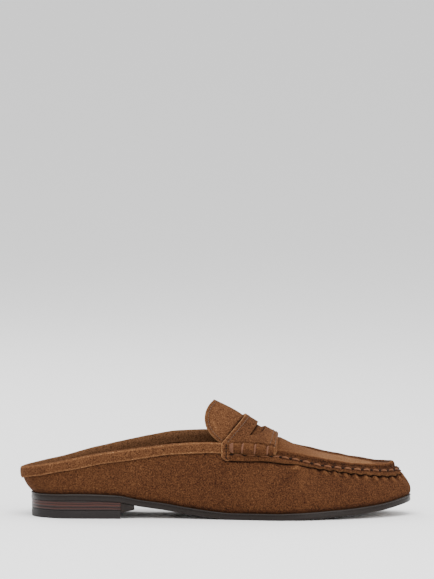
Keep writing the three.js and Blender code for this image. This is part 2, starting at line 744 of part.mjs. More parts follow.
// Inner face of the strap's arch: back is 0 at its rear edge and 1 at its front edge
function strapFace(back, across) {
  return instepPoint(mix(STRAP_REAR, STRAP_FRONT, back), across, CLEARANCE, CLEARANCE);
}

const ARCH_STEPS = 18;
const SKIRT_STEPS = 3;
const STRAP_ROWS = 7;
const SLOT_STEPS = 12;
const TONGUE_ROWS = 9;

// Strap over the instep: its ends go down outside the wall, and its rear corners fold down to the flange
function saddleStrap() {
  const length = SIDE_FRONT - ROLL_REAR + FOLD_WIDTH;
  const foldShare = FOLD_WIDTH / length;
  const gapShare = CLEARANCE / length;
  const beforeRoll = [0, foldShare / 2, foldShare - 2 * gapShare];
  const backs = [...beforeRoll, ...range(STRAP_ROWS, foldShare, 1)];
  const skirt = (back, side, out) => {
    const along = mix(ROLL_REAR - FOLD_WIDTH, SIDE_FRONT, back);
    const turn = turnAlong(along, side);
    const seam = seamHeight(turn);
    const low = back < foldShare - gapShare ? seam - flangeDepth(turn) : seam + 5 * CLEARANCE;
    const heights = range(SKIRT_STEPS, low, edgeHeight(turn)).slice(0, -1);
    return heights.map((height) => beside(turn, height, out));
  };
  const arch = (back, lift) => range(ARCH_STEPS, -1, 1).map((across) =>
    strapFace(back, across).addScaledVector(edgeNormal(strapFace, back, across), lift));
  const row = (back, lift) => [
    ...skirt(back, -1, CLEARANCE + lift),
    ...arch(back, lift),
    ...skirt(back, 1, CLEARANCE + lift).reverse(),
  ];
  const strap = plate(backs.map((back) => row(back, 0)), backs.map((back) => row(back, STRAP_THICKNESS)));
  return cut(strap, slotTool());
}

// Half-moon through the strap: straight at the rear, round at the front
function slotTool() {
  const length = STRAP_FRONT - STRAP_REAR;
  const rear = (SLOT_REAR - STRAP_REAR) / length;
  const halfWidth = Math.abs(topPlan(turnAlong(SLOT_REAR, -1)).y - ridgePoint(SLOT_REAR, 0).y);
  const reach = SLOT_HALF_LENGTH / halfWidth;
  const face = (along, across) => {
    const round = Math.sqrt(Math.max(1 - across * across, 0));
    return [rear + along * round * (SLOT_WIDTH / length), across * reach];
  };
  const side = (lift) => range(2, 0, 1).map((along) => range(SLOT_STEPS, -1, 1).map((across) => {
    const [back, over] = face(along, across);
    return strapFace(back, over).addScaledVector(normalOf(strapFace, back, over), lift);
  }));
  return plate(side(-CLEARANCE / 2), side(2 * STRAP_THICKNESS));
}

function toSolid(geometry) {
  const vertProperties = new Float32Array(geometry.getAttribute("position").array);
  const triVerts = new Uint32Array(geometry.getIndex().array);
  return new wasm.Manifold(new wasm.Mesh({ numProp: 3, vertProperties, triVerts }));
}

function cut(body, tool) {
  const result = toSolid(body).subtract(toSolid(tool)).getMesh();
  const geometry = new THREE.BufferGeometry();
  geometry.setAttribute("position", new THREE.BufferAttribute(new Float32Array(result.vertProperties), 3));
  geometry.setIndex(new THREE.BufferAttribute(new Uint32Array(result.triVerts), 1));
  return geometry;
}

// Place on the ridge of the tongue's cross line: back is 0 at its rounded rear edge and 1 at its front end
function tongueAlong(back, across) {
  const rear = mix(TONGUE_TIP, STRAP_REAR + 1, Math.min(Math.abs(across), 1) ** 3);
  return mix(rear, STRAP_FRONT - 2 * CLEARANCE, back);
}

function tongueFace(back, across) {
  return instepPoint(tongueAlong(back, across), across, -WALL - CLEARANCE, 0);
}

function tongue() {
  const backs = range(TONGUE_ROWS, 0, 1);
  const tuck = (back, side, out) => {
    const turn = turnAlong(sideBelow(tongueAlong(back, 1)), side);
    const edge = edgeHeight(turn);
    return range(2, edge - TONGUE_TUCK, edge).slice(0, -1).map((height) => beside(turn, height, out));
  };
  const arch = (back, lift) => range(ARCH_STEPS - 2, -1, 1).map((across) =>
    tongueFace(back, across).addScaledVector(edgeNormal(tongueFace, back, across), -lift));
  const row = (back, lift) => [
    ...tuck(back, -1, -WALL - CLEARANCE - lift),
    ...arch(back, lift),
    ...tuck(back, 1, -WALL - CLEARANCE - lift).reverse(),
  ];
  return plate(backs.map((back) => row(back, TONGUE_THICKNESS)), backs.map((back) => row(back, 0)));
}

const ROLL_END = 0.06;
const ROLL_END_POWER = 0.2;
const ROLL_FLATNESS = 0.8;
const ROLL_ARC_STEPS = 8;

// Rolled end of the strap: a half-round bar pinched by its thread ties
function beefRoll(side) {
  const back = CLEARANCE + STRAP_THICKNESS + CLEARANCE;
  const stations = range(4 * ROLL_TIES + 2, 0, 1);
  const tiePlace = (share) => share * ROLL_TIES * (1 + 1 / (4 * ROLL_TIES));
  const row = (share) => {
    const turn = turnAlong(ROLL_REAR + share * ROLL_LENGTH, side);
    const pinch = 1 - TIE_PINCH * Math.max(Math.cos(2 * Math.PI * tiePlace(share)), 0) ** 4;
    const round = Math.sin(Math.PI * mix(ROLL_END, 1 - ROLL_END, share)) ** ROLL_END_POWER;
    const size = pinch * round;
    const radius = (ROLL_HEIGHT / 2) * mix(1, ROLL_TAPER, share);
    const middle = seamHeight(turn) + 3 * CLEARANCE * (1 - share) + radius;
    const at = (angle, depth) => {
      const height = middle - radius * size * Math.cos(angle);
      return beside(turn, height, back + depth * size * Math.sin(angle) ** ROLL_FLATNESS);
    };
    return {
      outer: range(ROLL_ARC_STEPS, 0, Math.PI).map((angle) => at(angle, ROLL_DEPTH)),
      inner: range(ROLL_ARC_STEPS, 0, Math.PI).map((angle) => at(angle, 0)),
    };
  };
  const rows = stations.map(row);
  return plate(rows.map((r) => r.inner), rows.map((r) => r.outer));
}

const suedeParts = new THREE.Group();
const soleParts = new THREE.Group();

function add(group, name, geometry, finish) {
  const mesh = new THREE.Mesh(geometry, finish);
  mesh.name = name;
  group.add(mesh);
}

add(soleParts, "outsole", outsole(), EDGE_LACQUER);
add(soleParts, "heel_top_lift", heelTopLift(), LIFT_RUBBER);
for (let number = 0; number < LEATHER_LIFTS; number += 1) {
  add(soleParts, `heel_lift_${number + 1}`, heelLift(number), STACK_LEATHER);
}
add(soleParts, "heel_breast", heelBreast(), EDGE_LACQUER);
add(suedeParts, "insole", insole(), SUEDE_DARK);
add(suedeParts, "upper", upper(), SUEDE);
add(suedeParts, "collar_binding", collarBinding(), SUEDE_LIGHT);
add(suedeParts, "apron", apron(), SUEDE);
add(suedeParts, "tongue", tongue(), SUEDE_LIGHT);
add(suedeParts, "saddle_strap", saddleStrap(), SUEDE_LIGHT);
add(suedeParts, "beef_roll_lateral", beefRoll(-1), SUEDE);
add(suedeParts, "beef_roll_medial", beefRoll(1), SUEDE);

const mule = new THREE.Group();
mule.add(soleParts, suedeParts);

export default mule;
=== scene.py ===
"""Looks of the penny loafer mule: suede, threads, stacked heel, sole, stage, lights and camera."""

import logging
import math
from collections.abc import Callable
from dataclasses import dataclass, field
from enum import Enum

import bmesh
import bpy
import numpy as np
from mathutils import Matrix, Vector, noise


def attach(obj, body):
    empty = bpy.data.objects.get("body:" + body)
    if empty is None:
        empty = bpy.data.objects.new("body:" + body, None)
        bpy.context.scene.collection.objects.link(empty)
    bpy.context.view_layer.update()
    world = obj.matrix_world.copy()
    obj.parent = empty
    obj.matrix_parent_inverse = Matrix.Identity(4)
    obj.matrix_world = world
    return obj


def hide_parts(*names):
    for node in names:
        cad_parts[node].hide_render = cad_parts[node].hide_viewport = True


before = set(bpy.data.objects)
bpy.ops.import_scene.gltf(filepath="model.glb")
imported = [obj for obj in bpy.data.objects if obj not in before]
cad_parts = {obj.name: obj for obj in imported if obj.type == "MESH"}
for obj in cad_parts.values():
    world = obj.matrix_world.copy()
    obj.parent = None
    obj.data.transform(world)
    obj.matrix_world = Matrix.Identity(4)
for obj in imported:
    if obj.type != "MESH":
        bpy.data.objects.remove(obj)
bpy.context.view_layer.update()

LOG = logging.getLogger("mule")
MILLIMETRE = 0.001
BODY = "root"
FULL_TURN = 2.0
HIDDEN_SHARPNESS = math.radians(48)

Points = np.ndarray
Number = Points | float
Colour = tuple[float, float, float, float]
Place = tuple[float, float, float]
Material = bpy.types.Material
Node = bpy.types.Node
Piece = bpy.types.Object
Socket = bpy.types.NodeSocket


class Side(Enum):
    """The two long sides of the shoe."""

    OUTER = -1
    INNER = 1


def mix(a: Number, b: Number, share: Number) -> Number:
    """Value at a share of the way from a to b."""
    return a + (b - a) * share


def fade(value: Points, start: float, end: float) -> Points:
    """Soft step of a value, from 0 at start to 1 at end."""
    share = np.clip((value - start) / (end - start), 0, 1)
    return share * share * (3 - 2 * share)


def bend(t: Number, rise: Number, start: Number, end: Number) -> Number:
    """Rise of a smooth curve at t, from 0 to 1, by its whole rise and its slopes at both ends."""
    return t * (start + t * (3 * rise - 2 * start - end + t * (start + end - 2 * rise)))


def tone(code: str) -> Colour:
    """Linear colour of a display colour written as six hexadecimal digits."""
    shares = [int(code[i : i + 2], 16) / 255 for i in (0, 2, 4)]
    linear = [s / 12.92 if s <= 0.04045 else ((s + 0.055) / 1.055) ** 2.4 for s in shares]
    return (linear[0], linear[1], linear[2], 1.0)


def grain(points: Points, size: float, seed: float) -> Points:
    """Smooth random values at points.

    Args:
        points: Places in millimetres, in the last axis.
        size: Width of a patch in millimetres.
        seed: Number that picks the pattern.

    Returns:
        Values from about -1 to 1, one for each point.
    """
    flat = points.reshape(-1, 3) / size + seed
    found = [noise.noise(Vector(place)) for place in flat]
    return np.array(found).reshape(points.shape[:-1])


def unit(vectors: Points) -> Points:
    """Vectors of length 1 along the given ones."""
    length = np.linalg.norm(vectors, axis=-1, keepdims=True)
    return vectors / np.maximum(length, 1e-9)


def out_of(face: Callable[[Points, Points], Points], back: Points, across: Points) -> Points:
    """Directions out of a face.

    Args:
        face: Gives the face's points for two numbers, lengthways and across.
        back: Lengthways numbers.
        across: Numbers across.

    Returns:
        A direction for each pair of numbers.
    """
    near = 0.01
    lengthways = face(back + near, across) - face(back - near, across)
    sideways = face(back, across + near) - face(back, across - near)
    return unit(np.cross(lengthways, sideways))


class Table:
    """A short table with named columns, each a smooth curve that never swings past its rows."""

    def __init__(self, names: str, *rows: tuple[float, ...]) -> None:
        """Keeps the first column as the place and the others by name."""
        data = np.array(rows, float)
        self.place = data[:, 0]
        self.columns = dict(zip(names.split()[1:], data[:, 1:].T))

    def at(self, name: str, place: Number) -> Points:
        """Value of a column.

        Args:
            name: The column.
            place: Where to read it, in terms of the first column.

        Returns:
            The curve's values.
        """
        known, values = self.place, self.columns[name]
        place = np.clip(place, known[0], known[-1])
        step = np.diff(known)
        slope = np.diff(values) / step
        both = slope[:-1] * slope[1:]
        total = np.where(both > 0, slope[:-1] + slope[1:], 1)
        tangent = np.concatenate([[slope[0]], np.where(both > 0, 2 * both / total, 0), [slope[-1]]])
        index = np.clip(np.searchsorted(known, place, side="right") - 1, 0, len(known) - 2)
        t = (place - known[index]) / step[index]
        rise = values[index + 1] - values[index]
        start = tangent[index] * step[index]
        end = tangent[index + 1] * step[index]
        return values[index] + bend(t, rise, start, end)


@dataclass
class Last:
    """Shape of the last, from the same sizes as the solids. Millimetres."""

    sole_length: float = 258
    ball_width: float = 80
    seat_height: float = 12.2
    toe_spring: float = 9.4
    outsole_thickness: float = 4.6
    edge_margin: float = 1.1
    heel_length: float = 61
    throat_height: float = 52
    collar_overhang: float = 6
    toe_setback: float = 13
    wall: float = 1.6
    swell: float = 2.6
    swell_low: float = 0.62
    lean_power: float = 2.05
    flare_power: float = 2.3
    clearance: float = 0.3
    rim_height: float = 5.3
    flange: float = 3.6
    setback: float = 1.0
    apron_spine: float = 14
    instep_height: float = 79
    instep_arch: float = 2
    roll_rear: float = 134.8
    fold_width: float = 5.4
    strap_rear: float = 145
    strap_front: float = 167.2
    strap_rake: float = 1.3
    foot_line: Table = Table(
        "turn axis half",
        (0.0, 0.0, 0.0),
        (0.1, 0.0, 0.216),
        (0.2, 0.0, 0.341),
        (0.3, -0.006, 0.348),
        (0.4, -0.031, 0.325),
        (0.5, -0.055, 0.378),
        (0.6, -0.044, 0.483),
        (0.65, -0.018, 0.501),
        (0.7, 0.022, 0.484),
        (0.8, 0.05, 0.356),
        (0.9, 0.063, 0.187),
        (1.0, 0.069, 0.0),
    )
    top_line: Table = Table(
        "turn axis half edge seam rise rim swell vamp",
        (0.0, 0.0, 0.0, 0.621, 0.8, -0.01, 1, 0.1, 0),
        (0.1, 0.0, 0.228, 0.66, 0.8, -0.033, 1, 0.1, 0),
        (0.2, 0.0, 0.362, 0.732, 0.8, -0.045, 1, 0.15, 0),
        (0.3, -0.006, 0.381, 0.84, 0.8, -0.012, 1, 0.3, 0),
        (0.4, -0.019, 0.375, 0.932, 0.82, 0.044, 1, 0.5, 0.1),
        (0.45, -0.027, 0.373, 0.976, 0.83, 0.062, 1, 0.65, 0.25),
        (0.5, -0.034, 0.372, 0.993, 0.85, 0.06, 1, 0.8, 0.4),
        (0.55, -0.035, 0.375, 0.965, 0.839, 0.05, 1, 0.9, 0.7),
        (0.6, -0.03, 0.386, 0.933, 0.815, 0.03, 1.05, 1, 1),
        (0.63, -0.021, 0.396, 0.831, 0.799, 0, 1.08, 1, 1),
        (0.65, -0.015, 0.4, 0.806, 0.777, 0, 1.1, 1, 1),
        (0.7, 0.006, 0.402, 0.742, 0.713, 0, 1.04, 1, 1),
        (0.75, 0.022, 0.37, 0.698, 0.669, 0, 0.9, 1, 1),
        (0.8, 0.038, 0.319, 0.667, 0.638, 0, 0.8, 0.9, 1),
        (0.9, 0.056, 0.175, 0.625, 0.596, 0, 0.9, 0.7, 1),
        (1.0, 0.063, 0.0, 0.621, 0.592, 0, 1.1, 0.6, 1),
    )
    toe_seam: Table = Table(
        "turn lap back",
        (0.8, 1.0, 1.0),
        (0.9, 1.0, 0.1),
        (1.0, 0.6, -1.5),
    )
    shank_line: Table = Table(
        "along seat spring",
        (0.0, 0.95, 0),
        (0.13, 1.0, 0),
        (0.224, 0.93, 0),
        (0.287, 0.68, 0),
        (0.349, 0.5, 0),
        (0.413, 0.27, 0),
        (0.477, 0.09, 0),
        (0.53, 0, 0),
        (0.64, 0, 0),
        (0.7, 0, 0.05),
        (0.729, 0, 0.09),
        (0.79, 0, 0.19),
        (0.857, 0, 0.33),
        (0.919, 0, 0.52),
        (0.98, 0, 0.87),
        (1.0, 0, 1.0),
    )
    instep_ridge: Table = Table(
        "along height",
        (0.455, 1.038),
        (0.482, 1.0),
        (0.535, 0.914),
        (0.592, 0.79),
        (0.649, 0.688),
        (0.682, 0.648),
    )
    apron_crown: Table = Table(
        "along crown",
        (0.0, 1.18),
        (0.07, 0.9),
        (0.13, 0.66),
        (0.24, 0.3),
        (0.36, 0.02),
        (0.5, -0.12),
        (0.7, -0.1),
        (1.0, -0.15),
    )

    @property
    def heel_centre(self) -> float:
        """Distance from the back of the sole to the origin."""
        return self.heel_length / 2

    @property
    def side_front(self) -> float:
        """Front end of the strap at the wall."""
        return self.strap_front - self.strap_rake

    def travel_turn(self, share: Number) -> Points:
        """Turn at which a share of the length is passed."""
        return np.arccos(1 - 2 * np.clip(share, 0, 1)) / math.pi

    def point(self, along: Points, across: Points, height: Number) -> Points:
        """Point in the shoe's frame, by its distance from the back of the sole."""
        return np.stack(np.broadcast_arrays(along - self.heel_centre, across, height), -1)

    def along(self, points: Points) -> Points:
        """Distance of points from the back of the sole."""
        return points[..., 0] + self.heel_centre

    def edge_turn(self, along: Points) -> Points:
        """Turn at which the sole's outer edge passes a distance from the back."""
        return self.travel_turn((along - self.edge_margin) / (self.sole_length - 2 * self.edge_margin))

    def half_turn(self, turn: Points) -> Points:
        """Turn of the same station on the outer side."""
        return np.where(turn <= 1, turn, FULL_TURN - turn)

    def side(self, turn: Points) -> Points:
        """-1 on the outer side and 1 on the inner side."""
        return np.where(turn <= 1, -1.0, 1.0)

    def shank(self, along: Points) -> Points:
        """Height of the outsole's underside."""
        share = along / self.sole_length
        seat = self.shank_line.at("seat", share) * self.seat_height
        return seat + self.shank_line.at("spring", share) * self.toe_spring

    def tread(self, along: Points) -> Points:
        """Height of the outsole's top."""
        return self.shank(along) + self.outsole_thickness

    def plan(self, line: Table, back: float, front: float, turn: Points) -> Points:
        """Plan point of a line of the last.

        Args:
            line: The table of the line.
            back: Its rear end, from the back of the sole.
            front: Its front end.
            turn: Where on the line.

        Returns:
            Pairs of distance from the back and distance to the inner side.
        """
        v = self.half_turn(turn)
        x = mix(back, front, (1 - np.cos(math.pi * v)) / 2)
        y = (line.at("axis", v) + self.side(turn) * line.at("half", v)) * self.ball_width
        return np.stack([x, y], -1)

    def foot_plan(self, turn: Points) -> Points:
        """Plan point where the upper meets the outsole."""
        return self.plan(self.foot_line, self.edge_margin, self.sole_length - self.edge_margin, turn)

    def top_plan(self, turn: Points) -> Points:
        """Plan point of the upper's top edge."""
        return self.plan(self.top_line, -self.collar_overhang, self.sole_length - self.toe_setback, turn)

    def turn_along(self, along: Number, side: Side = Side.OUTER) -> Points:
        """Turn at which the top edge passes a distance from the back."""
        length = self.sole_length - self.toe_setback + self.collar_overhang
        turn = self.travel_turn((along + self.collar_overhang) / length)
        return turn if side is Side.OUTER else FULL_TURN - turn

    def outward(self, turn: Points) -> Points:
        """Plan direction out of the foot line."""
        near = 0.004
        along = self.foot_plan((turn + near) % FULL_TURN) - self.foot_plan((turn - near) % FULL_TURN)
        along = unit(along)
        return np.stack([along[..., 1], -along[..., 0]], -1)

    def edge_height(self, turn: Points) -> Points:
        """Height of the upper's top edge."""
        v = self.half_turn(turn)
        rise = np.where(self.side(turn) > 0, self.top_line.at("rise", v), 0)
        return (self.top_line.at("edge", v) + rise) * self.throat_height

    def seam_height(self, turn: Points) -> Points:
        """Height of the apron's stitch line."""
        return self.top_line.at("seam", self.half_turn(turn)) * self.throat_height

    def flange_depth(self, turn: Points) -> Points:
        """How far the apron's flange hangs below its stitch line."""
        return self.toe_seam.at("lap", self.half_turn(turn)) * self.flange

    def rim_setback(self, turn: Points) -> Points:
        """How far the apron's rim stands behind the upper's edge."""
        return self.toe_seam.at("back", self.half_turn(turn)) * self.setback

    def rim(self, turn: Points) -> Points:
        """Height of the apron's rim."""
        return self.seam_height(turn) + self.top_line.at("rim", self.half_turn(turn)) * self.rim_height

    def face(self, turn: Points, level: Points) -> Points:
        """Point of the upper's outer face.

        Args:
            turn: Station round the shoe.
            level: 0 at the outsole, 1 at the top edge.

        Returns:
            Points in the shoe's frame.
        """
        turn, level = np.broadcast_arrays(np.asarray(turn, float), np.asarray(level, float))
        v = self.half_turn(turn)
        foot, top, out = self.foot_plan(turn), self.top_plan(turn), self.outward(turn)
        base = self.tread(foot[..., 0]) + self.clearance
        inside = np.clip(level, 0, 1)
        vamp = self.top_line.at("vamp", v)
        flare = 1 - (1 - inside) ** self.flare_power
        lean = mix(flare, inside**self.lean_power, vamp) + np.maximum(level - 1, 0) * vamp
        swell = self.top_line.at("swell", v) * self.swell * np.sin(math.pi * inside**self.swell_low)
        flat = mix(foot, top, lean[..., None]) + out * swell[..., None]
        height = mix(base, self.edge_height(turn), level)
        return self.point(flat[..., 0], flat[..., 1], height)

    def directions(self, turn: Points, level: Points) -> tuple[Points, Points]:
        """Directions out of the face and up along it."""
        near_turn, near_level = 0.003, 0.01
        turn, level = np.broadcast_arrays(np.asarray(turn, float), np.asarray(level, float))
        ahead, behind = (turn + near_turn) % FULL_TURN, (turn - near_turn) % FULL_TURN
        above, below = np.minimum(level + near_level, 1), np.minimum(level, 1) - near_level
        along = self.face(ahead, level) - self.face(behind, level)
        up = unit(self.face(turn, above) - self.face(turn, below))
        return unit(np.cross(along, up)), up

    def off_face(self, turn: Points, level: Points, out: Number, up: Number = 0.0) -> Points:
        """Point at a distance out of the face and a distance up along it."""
        outwards, upwards = self.directions(turn, level)
        out, up = np.asarray(out, float)[..., None], np.asarray(up, float)[..., None]
        return self.face(turn, level) + outwards * out + upwards * up

    def level_at(self, turn: Points, height: Points) -> Points:
        """Level of the face at a height."""
        base = self.tread(self.foot_plan(turn)[..., 0]) + self.clearance
        return (height - base) / (self.edge_height(turn) - base)

    def beside(self, turn: Points, height: Points, out: Number) -> Points:
        """Point beside the face at a height, straight on past the top edge."""
        turn, height = np.broadcast_arrays(np.asarray(turn, float), np.asarray(height, float))
        edge = self.edge_height(turn)
        below = self.off_face(turn, np.minimum(self.level_at(turn, height), 1), out)
        _, up = self.directions(turn, np.ones_like(turn))
        past = np.maximum(height - edge, 0) / np.maximum(up[..., 2], 0.2)
        return below + up * past[..., None]

    def upright(self, along: Points, side: Side, height: Points, out: Number) -> Points:
        """Point beside the face at a height, straight below its place on the top edge.

        Args:
            along: Distance from the back of the sole.
            side: Which side of the shoe.
            height: Height of the point.
            out: Distance out of the face.

        Returns:
            Points in the shoe's frame.
        """
        along, height = np.broadcast_arrays(np.asarray(along, float), np.asarray(height, float))
        guess = along
        for _ in range(3):
            guess = guess + along - self.along(self.beside(self.turn_along(guess, side), height, out))
        return self.beside(self.turn_along(guess, side), height, out)

    def over_edge(self, turn: Points, inwards: Number, height: Points) -> Points:
        """Point at a height, a distance inside the top edge in plan."""
        edge, out = self.face(turn, 1.0), self.outward(turn)
        inwards = np.asarray(inwards, float)
        x = edge[..., 0] - out[..., 0] * inwards
        y = edge[..., 1] - out[..., 1] * inwards
        return np.stack(np.broadcast_arrays(x, y, height), -1)

    def middle(self, along: Points) -> Points:
        """Distance to the inner side of the top's middle line."""
        turn = self.turn_along(along)
        return (self.top_plan(turn)[..., 1] + self.top_plan(FULL_TURN - turn)[..., 1]) / 2

    def spine(self, turn: Points) -> Points:
        """Point of the apron's middle line for a station of its rim."""
        along = self.along(self.face(turn, 1.0))
        spine_front = self.sole_length - self.toe_setback - self.apron_spine
        share = np.clip((along - self.side_front) / (spine_front - self.side_front), 0, 1)
        x = mix(self.strap_front + self.clearance, spine_front, share)
        crown = self.apron_crown.at("crown", share) * self.rim_height
        height = self.rim(self.turn_along(x)) + crown
        return self.point(x, self.middle(x), height)

    def side_below(self, along: Points) -> Points:
        """Place at the wall of the instep's cross line through a place on the ridge."""
        share = (along - self.strap_rear) / (self.strap_front - self.strap_rear)
        return mix(self.roll_rear - self.fold_width, self.side_front, share)

    def instep(self, along: Points, across: Points, out: float, lift: float) -> Points:
        """Point of the instep's arch.

        Args:
            along: Place on the ridge, from the back of the sole.
            across: -1 at the outer wall, 1 at the inner wall.
            out: Distance of the sides from the wall's face.
            lift: Distance of the ridge from its line.

        Returns:
            Points in the shoe's frame.
        """
        along, across = np.broadcast_arrays(np.asarray(along, float), np.asarray(across, float))
        share = np.abs(across)
        drop = share**self.instep_arch
        outer = self.turn_along(self.side_below(along))
        turn = np.where(across < 0, outer, FULL_TURN - outer)
        wall = self.beside(turn, self.edge_height(turn), out)
        height = self.instep_ridge.at("height", along / self.sole_length) * self.instep_height + lift
        x = mix(along - self.heel_centre, wall[..., 0], drop)
        y = mix(self.middle(along), wall[..., 1], share)
        return np.stack([x, y, mix(height, wall[..., 2], drop)], -1)

    def sole_outline(self, turn: Points, inset: Number) -> Points:
        """Plan point at a distance inside the outsole's edge."""
        reach = np.asarray(self.edge_margin - inset, float)[..., None]
        return self.foot_plan(turn) + self.outward(turn) * reach


LAST = Last()


def normals(grid: Points) -> Points:
    """Directions out of a grid of points, rows along the shoe and columns upwards."""
    along = np.gradient(grid, axis=0)
    across = np.gradient(grid, axis=1)
    return unit(np.cross(along, across))


def lumpy(face: Points, *lumps: Place) -> Points:
    """Grid of points moved outwards by lumps, each with its height, its width and a seed."""
    relief = sum(height * grain(face, width, seed) for height, width, seed in lumps)
    return face + normals(face) * relief[..., None]


def spread(columns: Points, steps: list[int], corners: tuple[int, ...] = ()) -> Points:
    """Smooth cross lines through columns of points.

    Args:
        columns: Rows of a few points each.
        steps: Number of parts for each gap between columns.
        corners: Columns at which the line may bend sharply.

    Returns:
        Rows with all the points between.
    """
    gap = np.linalg.norm(np.diff(columns, axis=1), axis=2).mean(0) + 1e-6
    slope = np.diff(columns, axis=1) / gap[None, :, None]
    tangent = np.concatenate([slope[:, :1], slope, slope[:, -1:]], axis=1)
    share = np.concatenate([[0.5], gap[1:] / (gap[:-1] + gap[1:]), [0.5]])[None, :, None]
    tangent = tangent[:, :-1] * share + tangent[:, 1:] * (1 - share)
    found = []
    for j, count in enumerate(steps):
        start = slope[:, j] if j in corners else tangent[:, j]
        end = slope[:, j] if j + 1 in corners else tangent[:, j + 1]
        start, end = start * gap[j], end * gap[j]
        rise = columns[:, j + 1] - columns[:, j]
        found += [columns[:, j] + bend(t, rise, start, end) for t in np.arange(count) / count]
    found.append(columns[:, -1])
    return np.stack(found, axis=1)


def stand(name: str, data: bpy.types.ID) -> Piece:
    """New object in the scene."""
    made = bpy.data.objects.new(name, data)
    bpy.context.scene.collection.objects.link(made)
    return made


@dataclass
class Skin:
    """Points and faces of a piece on their way to a mesh, with numbers for its raw edges and for the light
    and shade painted on its colour.
    """

    points: Points
    faces: list[tuple[int, ...]]
    cut: Points
    shade: Points
    finish: list[int]

    @staticmethod
    def quads(index: Points, ring: bool) -> list[tuple[int, ...]]:
        """Faces between rows of point numbers, the last row joined to the first in a ring."""
        ahead = np.roll(index, -1, axis=0) if ring else index[1:]
        here = index if ring else index[:-1]
        corners = np.stack([here[:, :-1], ahead[:, :-1], ahead[:, 1:], here[:, 1:]], -1)
        return [tuple(face) for face in corners.reshape(-1, 4).tolist()]

    @classmethod
    def shell(cls, outer: Points, inner: Points, ring: bool = False, bulge: float = 0.25, steps: int = 3,
              shade: Points | None = None, lined: bool = False, welded: bool = False) -> "Skin":
        """Closed piece between two grids, with a rounded edge all round.

        Args:
            outer: Grid of the outer face.
            inner: Grid of the inner face, of the same size.
            ring: Whether the last row joins the first.
            bulge: How far the edge is rounded outwards.
            steps: Parts of the edge across the thickness.
            shade: Lightness to add on the outer face: painted light and shade, with some lighter raw edges.
            lined: Whether the inner face has the second finish.
            welded: Whether the last column meets itself, row by row from both ends.

        Returns:
            The piece, with cut 1 on its edge.
        """
        rows, columns = outer.shape[:2]
        count = rows * columns
        index = np.arange(count).reshape(rows, columns)
        points = [outer.reshape(-1, 3), inner.reshape(-1, 3)]
        faces = cls.quads(index, ring)
        finish = [0] * len(faces) + [int(lined)] * len(faces)
        faces = faces + [face[::-1] for face in cls.quads(index + count, ring)]
        row, column = np.arange(rows), np.arange(columns)
        last_row, last_column = rows - 1, columns - 1
        if ring:
            paths = [
                np.stack([row, 0 * row], -1),
                np.stack([row[::-1], 0 * row + last_column], -1),
            ]
        else:
            ahead = [
                np.stack([row[:-1], 0 * row[:-1]], -1),
                np.stack([0 * column[:-1] + last_row, column[:-1]], -1),
            ]
            far = [] if welded else [np.stack([row[:0:-1], 0 * row[1:] + last_column], -1)]
            paths = [np.concatenate([*ahead, *far, np.stack([0 * column[1:], column[:0:-1]], -1)])]
        total = 2 * count
        for path in paths:
            i, j = path[:, 0], path[:, 1]
            inside_i = i if ring else np.clip(i, 1, max(rows - 2, 1))
            inside_j = np.clip(j, 1, max(columns - 2, 1))
            out = unit(outer[i, j] - outer[inside_i, inside_j])
            before = index[i, j]
            for step in range(1, steps):
                share = step / steps
                points.append(mix(outer[i, j], inner[i, j], share) + out * bulge * math.sin(math.pi * share))
                after = total + np.arange(len(path))
                total += len(path)
                faces += cls.bridge(before, after)
                before = after
            faces += cls.bridge(before, index[i, j] + count)
        finish += [0] * (len(faces) - len(finish))
        edge = total - 2 * count
        light = np.zeros((rows, columns)) if shade is None else shade
        return cls(
            np.concatenate(points),
            faces,
            np.concatenate([np.zeros(2 * count), np.ones(edge)]),
            np.concatenate([light.reshape(-1), np.zeros(count + edge)]),
            finish,
        )

    @staticmethod
    def bridge(first: Points, second: Points) -> list[tuple[int, ...]]:
        """Faces between two closed loops of point numbers."""
        corners = np.stack([np.roll(first, -1), first, second, np.roll(second, -1)], -1)
        return [tuple(face) for face in corners.tolist()]

    def joined(self, other: "Skin") -> "Skin":
        """This piece and another as one."""
        start = len(self.points)
        faces = self.faces + [tuple(i + start for i in face) for face in other.faces]
        return Skin(
            np.concatenate([self.points, other.points]),
            faces,
            np.concatenate([self.cut, other.cut]),
            np.concatenate([self.shade, other.shade]),
            self.finish + other.finish,
        )

    def make(self, name: str, finishes: list[Material]) -> Piece:
        """Turns the piece into a Blender object.

        Args:
            name: Name of the piece.
            finishes: Its materials, by the numbers of its faces' finish.

        Returns:
            The object, at the origin.
        """
        mesh = bpy.data.meshes.new(name)
        mesh.from_pydata((self.points * MILLIMETRE).tolist(), [], self.faces)
        for key, values in (("cut", self.cut), ("shade", self.shade)):
            mesh.attributes.new(key, "FLOAT", "POINT").data.foreach_set("value", values.astype(np.float32))
        for finish in finishes:
            mesh.materials.append(finish)
        mesh.polygons.foreach_set("material_index", self.finish)
        work = bmesh.new()
        work.from_mesh(mesh)
        bmesh.ops.remove_doubles(work, verts=work.verts, dist=0.00001)
        bmesh.ops.dissolve_degenerate(work, edges=work.edges, dist=0.00001)
        if work.calc_volume(signed=True) < 0:
            bmesh.ops.reverse_faces(work, faces=work.faces)
        work.to_mesh(mesh)
        work.free()
        mesh.polygons.foreach_set("use_smooth", [True] * len(mesh.polygons))
        mesh.set_sharp_from_angle(angle=HIDDEN_SHARPNESS)
        return stand(name, mesh)


def place(piece: Piece, slot: str, *nodes: str) -> Piece:
    """Lets a finished piece ride on the shoe and stand for its solids.

    Args:
        piece: The object.
        slot: Name of a material slot; not used.
        nodes: The solids that it stands for.

    Returns:
        The object.
    """
    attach(piece, BODY)
    if nodes:
        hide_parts(*nodes)
    LOG.info("%s: %d faces", piece.name, len(piece.data.polygons))
    return piece


